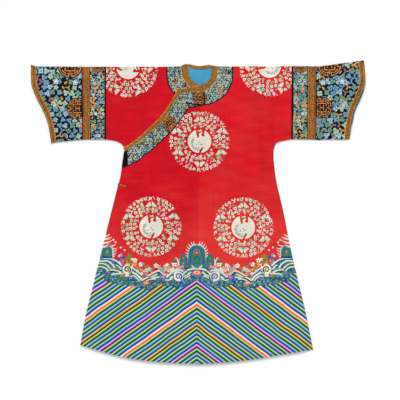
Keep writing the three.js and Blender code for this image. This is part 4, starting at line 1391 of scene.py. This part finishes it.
# Creases sharper than this, in degrees, show as edges.
SHARP_ANGLE = 40


def rim_edges(corners):
    """Directed edges that belong to one triangle only."""
    edges = np.concatenate([corners[:, [0, 1]], corners[:, [1, 2]], corners[:, [2, 0]]])
    size = int(corners.max()) + 1
    alone = ~np.isin(edges[:, 0] * size + edges[:, 1], edges[:, 1] * size + edges[:, 0])
    triangle = np.tile(np.arange(len(corners)), 3)
    return edges[alone], triangle[alone]


def shell(name, cut, lay, is_outer, ground, materials, inside_material):
    """The closed shell of one piece, and its flat area in square metres."""
    plan, corners, halves, threads = cut.outer()
    threads = np.array([ground if thread == "ground" else thread for thread in threads])
    rim, rim_of = rim_edges(corners)
    bare, back, back_halves, place = cut.inner(plan, rim)
    count = len(plan)
    points = np.concatenate([
        lay(plan[:, 0], plan[:, 1], is_outer, False), lay(bare[:, 0], bare[:, 1], is_outer, True),
    ])
    inner_rim = np.array([[count + place[i], count + place[j]] for i, j in rim.tolist()])
    sides = np.stack([rim[:, 0], inner_rim[:, 0], inner_rim[:, 1], rim[:, 1]], axis=1)
    back = back[:, ::-1]
    back_plan = bare[back]
    step = plan[rim[:, 1]] - plan[rim[:, 0]]
    out = np.stack([step[:, 1], -step[:, 0]], axis=1)
    out *= WALL / np.maximum(np.linalg.norm(out, axis=1, keepdims=True), 1e-6)
    start, end = plan[rim[:, 0]], plan[rim[:, 1]]
    side_plan = np.stack([start, start + out, end + out, end], axis=1)

    used_halves = sorted(set(halves.tolist()))
    low = plan.min(axis=0)
    wide = plan[:, 0].max() - low[0] + 2 * UV_MARGIN
    starts = np.array([plan[corners[halves == h], 1].min() if h in used_halves else 0
                       for h in range(2)])
    tall = max(plan[corners[halves == h], 1].max() - starts[h] for h in used_halves)
    scale = UV_FILL / max(wide * 2 * len(used_halves), tall + 2 * UV_MARGIN)

    def unwrapped(places, half, is_inside):
        column = 2 * np.searchsorted(used_halves, half) + is_inside
        x = places[:, :, 0] - low[0] + UV_MARGIN + column[:, None] * wide
        return np.stack([x, places[:, :, 1] - starts[half][:, None] + UV_MARGIN], axis=2) * scale

    uvs = [unwrapped(plan[corners], halves, 0), unwrapped(back_plan, back_halves, 1),
           unwrapped(side_plan, halves[rim_of], 0)]
    names = sorted({ground, *threads.tolist()})
    tones = np.array([(*linear(THREADS.get(key, (255, 255, 255))), 1.0) for key in names])
    tone_of = np.searchsorted(names, threads)
    ground_tone = np.full(len(back), names.index(ground))
    colours = [tones[np.repeat(tone_of, 3)], tones[np.repeat(ground_tone, 3)],
               tones[np.repeat(tone_of[rim_of], 4)]]
    if ground.startswith("crimson"):
        # Bare crimson ground is made paler towards the hem and over the wearer's left.
        bare_ground = np.repeat(threads == ground, 3)
        places = plan[corners].reshape(-1, 2)[bare_ground]
        colours[0][bare_ground] = paler_crimson(colours[0][bare_ground], places)
    slots = np.array([slot_of(key) for key in names])[tone_of]
    a, b, c = plan[corners[:, 0]], plan[corners[:, 1]], plan[corners[:, 2]]
    area = ((b - a)[:, 0] * (c - a)[:, 1] - (c - a)[:, 0] * (b - a)[:, 1]).sum() / 2

    mesh = bpy.data.meshes.new(name)
    faces = [*corners.tolist(), *(back + count).tolist(), *sides.tolist()]
    mesh.from_pydata(points.tolist(), [], faces)
    inside_slots = np.full(len(back), len(materials))
    mesh.polygons.foreach_set("material_index", np.concatenate([slots, inside_slots, slots[rim_of]]))
    layer = mesh.uv_layers.new(name="OFBake")
    layer.data.foreach_set("uv", np.concatenate([part.ravel() for part in uvs]))
    paint = mesh.color_attributes.new("thread", "FLOAT_COLOR", "CORNER")
    paint.data.foreach_set("color", np.concatenate(colours).ravel())
    mesh.shade_smooth()
    mesh.set_sharp_from_angle(angle=math.radians(SHARP_ANGLE))
    for material in (*materials, inside_material):
        mesh.materials.append(material)
    return linked(name, mesh), float(area) * MM * MM


# Paler crimson, its share at the hem and over the wearer's left, and the Y and
# length over which the first comes in.
PALE_CRIMSON = np.array([*linear((232, 74, 62)), 1.0])
PALER_AT_HEM = 0.4
PALER_AT_LEFT = 0.15
PALER_BELOW = 240
PALER_REACH = 520


def paler_crimson(colours, places):
    """Crimson ground made paler towards the hem and over the wearer's left, unevenly."""
    x, v = places[..., 0], places[..., 1]
    y = np.where(v < SHOULDER_Y, v, 2 * SHOULDER_Y - v)
    share = PALER_AT_HEM * smooth((PALER_BELOW - y) / PALER_REACH)
    share = share + PALER_AT_LEFT * smooth((x + 20) / 40) - 0.04
    share += 0.09 * np.sin(x / 47 + y / 83) * np.sin(y / 39 - x / 131 + 1)
    share += 0.07 * np.sin(x / 31 - y / 61) * np.sin(y / 9 + x / 210)
    share = np.clip(share, 0, 0.9)[..., None]
    return colours * (1 - share) + PALE_CRIMSON * share


def slot_of(thread):
    """0 for silk, 1 for the striped hem, 2 for gold thread."""
    if thread == "stripes":
        return 1
    return 2 if thread.startswith(("gold", "copper")) else 0


# ---- Materials -----------------------------------------------------------------------------
def new_material(name, roughness, sheen, specular=0.2, metallic=0.0):
    material = bpy.data.materials.new(name)
    material.use_nodes = True
    tree = material.node_tree
    shader = tree.nodes["Principled BSDF"]
    shader.inputs["Roughness"].default_value = roughness
    shader.inputs["Sheen Weight"].default_value = sheen
    shader.inputs["Sheen Roughness"].default_value = 0.45
    shader.inputs["Specular IOR Level"].default_value = specular
    shader.inputs["Metallic"].default_value = metallic
    return material, tree, shader


def node(tree, kind, **values):
    """A new node with its properties, and its inputs by name or number."""
    made = tree.nodes.new(kind)
    for key, value in values.items():
        if key == "inputs":
            for socket, entry in value.items():
                made.inputs[socket].default_value = entry
        else:
            setattr(made, key, value)
    return made


def math_node(tree, operation, first, second=None, clamp=False):
    made = node(tree, "ShaderNodeMath", operation=operation, use_clamp=clamp)
    for socket, value in enumerate((first, second)):
        if value is None:
            continue
        if isinstance(value, (int, float)):
            made.inputs[socket].default_value = value
        else:
            tree.links.new(value, made.inputs[socket])
    return made.outputs[0]


def scaled_position(tree, scale):
    place = node(tree, "ShaderNodeTexCoord")
    grow = node(tree, "ShaderNodeMapping", inputs={"Scale": scale})
    tree.links.new(place.outputs["Object"], grow.inputs["Vector"])
    return grow.outputs[0]


def noise_at(tree, scale, detail=3.0):
    made = node(tree, "ShaderNodeTexNoise", inputs={"Scale": 1.0, "Detail": detail})
    tree.links.new(scaled_position(tree, scale), made.inputs["Vector"])
    return made.outputs["Fac"]


def shaded(tree, colour, shade):
    """The colour times a grey shade."""
    mix = node(tree, "ShaderNodeMix", data_type="RGBA", blend_type="MULTIPLY",
               inputs={"Factor": 1.0})
    tree.links.new(colour, mix.inputs["A"])
    tree.links.new(shade, mix.inputs["B"])
    return mix.outputs["Result"]


def between_shades(tree, value, low, high):
    made = node(tree, "ShaderNodeMapRange", inputs={"From Min": 0.3, "From Max": 0.7,
                                                    "To Min": low, "To Max": high})
    tree.links.new(value, made.inputs["Value"])
    return made.outputs["Result"]


def woven(tree, shader, colour, rib=(160, 700, 160), depth=0.25, streaks=0.14, clouds=0.10):
    """Ribs, faint streaks along the weft and uneven dyeing over a colour."""
    streak = between_shades(tree, noise_at(tree, (5, 190, 20)), 1 - streaks, 1 + streaks * 0.5)
    warp = between_shades(tree, noise_at(tree, (150, 4, 20)), 1 - streaks * 0.5, 1 + streaks * 0.3)
    cloud = between_shades(tree, noise_at(tree, (9, 7, 9), 2.0), 1 - clouds, 1 + clouds * 0.7)
    fleck = between_shades(tree, noise_at(tree, (520, 300, 500), 1.0), 0.93, 1.05)
    shade = math_node(tree, "MULTIPLY", math_node(tree, "MULTIPLY", streak, cloud), fleck)
    shade = math_node(tree, "MULTIPLY", shade, warp)
    tree.links.new(shaded(tree, colour, shade), shader.inputs["Base Color"])
    bump = node(tree, "ShaderNodeBump", inputs={"Strength": depth, "Distance": 0.0006})
    tree.links.new(noise_at(tree, rib, 2.0), bump.inputs["Height"])
    tree.links.new(bump.outputs["Normal"], shader.inputs["Normal"])
    rough = between_shades(tree, noise_at(tree, (40, 25, 40)), 0.66, 0.84)
    tree.links.new(rough, shader.inputs["Roughness"])


def thread_colour(tree):
    return node(tree, "ShaderNodeAttribute", attribute_name="thread").outputs["Color"]


def silk_material():
    material, tree, shader = new_material("kesi_silk", 0.6, 0.03, 0.12)
    woven(tree, shader, thread_colour(tree))
    return material


def gold_material():
    """Gold and copper thread: metallic ribs, broken by dark brown and olive specks."""
    material, tree, shader = new_material("gold_thread", 0.5, 0.05, 0.3, 0.2)
    cells = node(tree, "ShaderNodeTexVoronoi", inputs={"Scale": 1.0, "Randomness": 0.85})
    tree.links.new(scaled_position(tree, (170, 190, 180)), cells.inputs["Vector"])
    speck = node(tree, "ShaderNodeMapRange", inputs={"From Min": 0.26, "From Max": 0.46,
                                                     "To Min": 0.3, "To Max": 1.24})
    tree.links.new(cells.outputs["Distance"], speck.inputs["Value"])
    tint = node(tree, "ShaderNodeValToRGB")
    stops = tint.color_ramp.elements
    stops[0].position, stops[1].position = 0.36, 0.66
    stops[0].color, stops[1].color = (0.62, 0.8, 0.5, 1), (1.25, 1.1, 0.9, 1)
    tree.links.new(noise_at(tree, (130, 110, 120), 1.0), tint.inputs["Fac"])
    colour = shaded(tree, thread_colour(tree), speck.outputs["Result"])
    woven(tree, shader, shaded(tree, colour, tint.outputs["Color"]), rib=(420, 420, 420),
          depth=0.5, streaks=0.05)
    return material


# Stripes of the hem: their slopes on the wearer's left and right, the height of one set of
# five, and the level of the first bright one at the middle.
STRIPE_SLOPES = (-0.709, 0.75)
STRIPE_SET = 97.5
FIRST_ACCENT = -323.4
# Where a stripe's tones lie in its height, the first and the last tone twice.
TONE_SHARES = (0.02, 0.1, 0.3, 0.53, 0.76, 0.96)
# The first stripe of each set is bright and the others are plain.
ACCENT_SHARE = 0.2
# Light to dark threads, from each stripe's upper to its lower edge.
GREEN_STRIPE = ((242, 234, 158), (96, 190, 92), (8, 118, 70), (0, 32, 34))
BLUE_STRIPE = ((206, 214, 198), (84, 172, 220), (0, 100, 202), (0, 52, 106))
SET_STRIPES = [GREEN_STRIPE, BLUE_STRIPE, GREEN_STRIPE, BLUE_STRIPE]
ACCENTS = [
    ((244, 208, 238), (212, 132, 214), (140, 24, 150), (66, 0, 88)),
    ((255, 238, 222), (255, 212, 190), (252, 158, 134), (230, 34, 30)),
    ((252, 228, 136), (226, 166, 60), (150, 96, 30), (36, 22, 10)),
]


def colour_ramp(tree, value, stripes):
    """A ramp over equal stripes, each from its light to its dark thread."""
    ramp = node(tree, "ShaderNodeValToRGB")
    ramp.color_ramp.interpolation = "LINEAR"
    stops = []
    for i, tones in enumerate(stripes):
        for share, tone in zip(TONE_SHARES, (tones[0], *tones, tones[3])):
            stops.append(((i + share) / len(stripes), tone))
    elements = ramp.color_ramp.elements
    elements[0].position, elements[1].position = stops[0][0], stops[-1][0]
    for position, _ in stops[1:-1]:
        elements.new(position)
    for element, (_, tone) in zip(elements, stops):
        element.color = (*linear(tone), 1.0)
    tree.links.new(value, ramp.inputs["Fac"])
    return ramp.outputs["Color"]


def hem_material():
    """Slanting stripes of standing water that meet in a peak at the middle of the robe."""
    material, tree, shader = new_material("hem_stripes", 0.6, 0.03, 0.12)
    place = node(tree, "ShaderNodeTexCoord")
    split = node(tree, "ShaderNodeSeparateXYZ")
    tree.links.new(place.outputs["Object"], split.inputs[0])
    away = math_node(tree, "SUBTRACT", split.outputs["X"], APEX_X * MM)
    rises = [math_node(tree, "MULTIPLY", away, slope) for slope in STRIPE_SLOPES]
    wobble = math_node(tree, "SUBTRACT", noise_at(tree, (10, 7, 4), 1.5), 0.5)
    level = math_node(tree, "ADD", split.outputs["Y"], math_node(tree, "MAXIMUM", *rises))
    level = math_node(tree, "ADD", level, math_node(tree, "MULTIPLY", wobble, 0.01))
    down = math_node(tree, "SUBTRACT", (FIRST_ACCENT + STRIPE_SET / 10) * MM, level)
    sets = math_node(tree, "DIVIDE", down, STRIPE_SET * MM)
    share = math_node(tree, "FLOORED_MODULO", sets, 1.0)
    plain = colour_ramp(tree, share, SET_STRIPES)
    past_accent = math_node(tree, "SUBTRACT", share, ACCENT_SHARE)
    plain_share = math_node(tree, "DIVIDE", past_accent, 1 - ACCENT_SHARE)
    tree.links.new(plain_share, plain.node.inputs["Fac"])
    whole = math_node(tree, "FLOORED_MODULO", math_node(tree, "FLOOR", sets), len(ACCENTS))
    within = math_node(tree, "MULTIPLY", share, 1 / ACCENT_SHARE, clamp=True)
    accent_share = math_node(tree, "DIVIDE", math_node(tree, "ADD", whole, within), len(ACCENTS))
    accent = colour_ramp(tree, accent_share, ACCENTS)
    pick = node(tree, "ShaderNodeMix", data_type="RGBA")
    tree.links.new(math_node(tree, "GREATER_THAN", share, ACCENT_SHARE), pick.inputs["Factor"])
    tree.links.new(accent, pick.inputs["A"])
    tree.links.new(plain, pick.inputs["B"])
    woven(tree, shader, pick.outputs["Result"], streaks=0.06, clouds=0.05)
    return material


def plain_material(name, thread, roughness=0.5, sheen=0.08, **weave):
    material, tree, shader = new_material(name, roughness, sheen)
    colour = node(tree, "ShaderNodeRGB")
    colour.outputs[0].default_value = (*linear(THREADS[thread]), 1.0)
    woven(tree, shader, colour.outputs[0], **weave)
    return material


SILK = silk_material()
HEM_STRIPES = hem_material()
GOLD = gold_material()
SMOOTH_WEAVE = {"rib": (1500, 500, 500), "depth": 0.12}
LINING = plain_material("blue_lining_silk", "lining", **SMOOTH_WEAVE, clouds=0.2)
# Painted shade: the lining silk darkened, for the inside faces of the cloth, hidden in the robe.
SHADED_LINING = plain_material("blue_lining_painted_shade", "lining_painted_shade", **SMOOTH_WEAVE)
CORD_WEAVE = {"rib": (2500, 2500, 2500), "depth": 0.4}
CORD_GREEN = plain_material("green_silk_cord", "olive", **CORD_WEAVE)
CORD_GOLD = plain_material("gold_silk_cord", "gold_line", **CORD_WEAVE)
CORD_BLACK = plain_material("black_silk_wrap", "black", **CORD_WEAVE)
WOVEN = (SILK, HEM_STRIPES, GOLD)


def keep(piece, node_name):
    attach(piece, "root")
    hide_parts(node_name)


def cut_of(name, grid, front, back):
    """The cut of one piece out of its unfolded plan."""
    low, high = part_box(name)
    x1, x2 = low[0] / MM - 2, high[0] / MM + 2
    y1 = low[1] / MM - 2
    v2 = 2 * SHOULDER_Y - y1 + 40 if back else high[1] / MM + 2
    outlines = []
    for spec, outline, turn in ((front, FRONT_OUTLINE, list), (back, BACK_OUTLINE, turned_back)):
        if spec is None:
            continue
        inside = [outline, *[turn(reaching(inset(o, SEAM_GAP / 2))) for o in spec[0]]]
        outside = [turn(reaching(inset(o, -SEAM_GAP / 2))) for o in spec[1]]
        outlines.append((inside, outside))
    xs = [x1, *[x for x in FOLD_XS if x1 < x < x2], x2]
    lines = [[(x, float(fold_y(x)) + row * FOLD_RADIUS) for x in xs] for row in FOLD_ROWS]
    lines = lines if back else []
    return Cut(outlines, figures_of.get(name, ()), grid, (x1, y1, x2, v2), lines)


for name, (ground, grid, is_outer, front, back) in PIECES.items():
    cut = cut_of(name, grid, front, back)
    piece, area = shell(f"{name}_cloth", cut, laid, is_outer, ground, WOVEN, SHADED_LINING)
    keep(piece, name)

# Linings, which show inside the neck and past the left cuff.
LINING_MARGIN = 16
lining_top = [(x, float(fold_y(x)) - 6) for x in (60, 40, 20, 0, -20, -40, -60)]
lining_low = shifted(NECK_OPENING[5:][::-1], -LINING_MARGIN)
cuff_edge = curved(LEFT_CUFF_EDGE[3:10])
PLATES = {
    "neck_lining": [*lining_top, *curved(lining_low)],
    "cuff_lining_left": [
        cuff_edge[0], *shifted(cuff_edge, 5)[1:-1], cuff_edge[-1], *reversed(shifted(cuff_edge, -14)),
    ],
}
for name, outline in PLATES.items():
    low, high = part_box(name)
    area = (low[0] / MM, low[1] / MM, high[0] / MM, high[1] / MM)
    cut = Cut([([outline], [])], [], 6, area)
    piece, area = shell(f"{name}_cloth", cut, laid_plate, False, "lining", (LINING,) * 3, LINING)
    keep(piece, name)

# Cord loops: two strands side by side that join in a round end, as in the part's source.
LOOPS = {
    "side_loop": (2.2, [(-370, 128), (-358, 125), (-346, 121), (-334, 117), (-322, 113)],
                  CORD_GREEN),
    "underarm_loop": (1.8, [(-318, 297), (-326, 297), (-334, 299), (-342, 302), (-349, 306)],
                      CORD_GOLD),
    "collar_loop": (1.8, [(-99, 628), (-98, 612), (-99, 597), (-100, 582), (-99, 567)], CORD_GOLD),
}
STRAND_SIDES = 8
# Turn of the two plies from one ring of points to the next, in radians.
PLY_TURN = 0.55
# X of the side loop's middle, and half the length that stays green between its black ends.
WRAP_MIDDLE = -346
WRAP_HALF = 16


def tube(path, radius):
    """A closed tube with two plies twisted round each other."""
    points, faces = [], []
    for i, centre in enumerate(path):
        ahead = path[min(i + 1, len(path) - 1)] - path[max(i - 1, 0)]
        side = ahead.cross(Vector((0, 0, 1))).normalized()
        up = side.cross(ahead).normalized()
        for k in range(STRAND_SIDES):
            a = 2 * math.pi * k / STRAND_SIDES
            ply = 0.86 + 0.14 * abs(math.cos(a + PLY_TURN * i))
            points.append(centre + (side * math.cos(a) + up * math.sin(a)) * radius * ply)
    for i in range(len(path) - 1):
        for k in range(STRAND_SIDES):
            a, b = i * STRAND_SIDES + k, i * STRAND_SIDES + (k + 1) % STRAND_SIDES
            faces.append((a, a + STRAND_SIDES, b + STRAND_SIDES, b))
    faces.append(tuple(range(STRAND_SIDES)))
    last = (len(path) - 1) * STRAND_SIDES
    faces.append(tuple(reversed(range(last, last + STRAND_SIDES))))
    return points, faces


def loop_path(radius, route, is_raised):
    """The route out along one strand, round the end and back along the other."""
    line = curved(route, 8)
    xs, ys = (np.array(values) for values in zip(*line))
    heights = front_height(xs, ys, below_fold(xs, ys)) + WALL + (LAYER_STEP if is_raised else 0)
    on_cloth = [is_inside(x, y, FRONT_OUTLINE) for x, y in line]
    highest = max(z for z, on in zip(heights, on_cloth) if on)
    heights = [z if on else highest for z, on in zip(heights, on_cloth)]
    strand = radius / 2
    path = []
    sides = (shifted(line, strand), shifted(line, -strand))
    for points, levels in ((sides[0], heights), (sides[1][::-1], heights[::-1])):
        path += [(x, y, z) for (x, y), z in zip(points, levels)]
    out = []
    for (x1, y1, z1), (x2, y2, z2) in zip(path, path[1:]):
        for t in (0, 0.5):
            out.append(Vector((x1 + (x2 - x1) * t, y1 + (y2 - y1) * t,
                               z1 + (z2 - z1) * t + SEAM_GAP + strand)) * MM)
    return out, strand * MM


for name, (radius, route, material) in LOOPS.items():
    path, strand = loop_path(radius, route, name != "collar_loop")
    points, faces = tube(path, strand)
    mesh = bpy.data.meshes.new(f"{name}_cord")
    mesh.from_pydata(points, [], faces)
    mesh.shade_smooth()
    mesh.materials.append(material)
    mesh.materials.append(CORD_BLACK)
    if name == "side_loop":
        wrapped = [int(abs(f.center.x / MM - WRAP_MIDDLE) >= WRAP_HALF) for f in mesh.polygons]
        mesh.polygons.foreach_set("material_index", wrapped)
    keep(linked(f"{name}_cord", mesh), name)

# ---- Floor, light, camera ------------------------------------------------------------------
FLOOR_HALF = 6.0
FLOOR_DROP = 0.0003


def floor():
    mesh = bpy.data.meshes.new("floor")
    corners = [(-1, -1), (1, -1), (1, 1), (-1, 1)]
    mesh.from_pydata([(x * FLOOR_HALF, y * FLOOR_HALF, -FLOOR_DROP) for x, y in corners], [],
                     [(0, 1, 2, 3)])
    material, tree, shader = new_material("pale_floor", 0.9, 0.0, 0.1)
    colour = node(tree, "ShaderNodeRGB")
    colour.outputs[0].default_value = (0.96, 0.96, 0.96, 1)
    grain = between_shades(tree, noise_at(tree, (3, 3, 3)), 0.99, 1.0)
    tree.links.new(shaded(tree, colour.outputs[0], grain), shader.inputs["Base Color"])
    mesh.materials.append(material)
    linked("floor", mesh)


STUDIO_STRENGTH = 0.66
KEY_STRENGTH = 2.75
KEY_WIDTH = 22
KEY_PLACE = (-1.1, 3.0, 1.65)


def lights():
    """A white studio and a broad, low lamp beyond the neck."""
    world = bpy.data.worlds.new("studio")
    world.use_nodes = True
    background = world.node_tree.nodes["Background"]
    background.inputs["Color"].default_value = (1.0, 1.0, 1.0, 1)
    background.inputs["Strength"].default_value = STUDIO_STRENGTH
    bpy.context.scene.world = world
    light = bpy.data.lights.new("key", "SUN")
    light.angle = math.radians(KEY_WIDTH)
    light.energy = KEY_STRENGTH
    key = linked("key", light)
    key.location = KEY_PLACE
    key.rotation_euler = Vector([-value for value in KEY_PLACE]).to_track_quat("-Z", "Y").to_euler()


# The picture's width on the floor, the lens and its sensor, and the picture's middle, in metres.
PHOTO_SPAN = 400 * 4.6 * MM
LENS = 100
SENSOR = 36
AIM = (0.0092, 0.0552)


def camera():
    lens = bpy.data.cameras.new("camera")
    lens.lens = LENS
    lens.sensor_width = SENSOR
    seen = linked("camera", lens)
    seen.location = (*AIM, PHOTO_SPAN * LENS / SENSOR)
    bpy.context.scene.camera = seen


floor()
lights()
camera()
bpy.context.scene.view_settings.view_transform = "Standard"
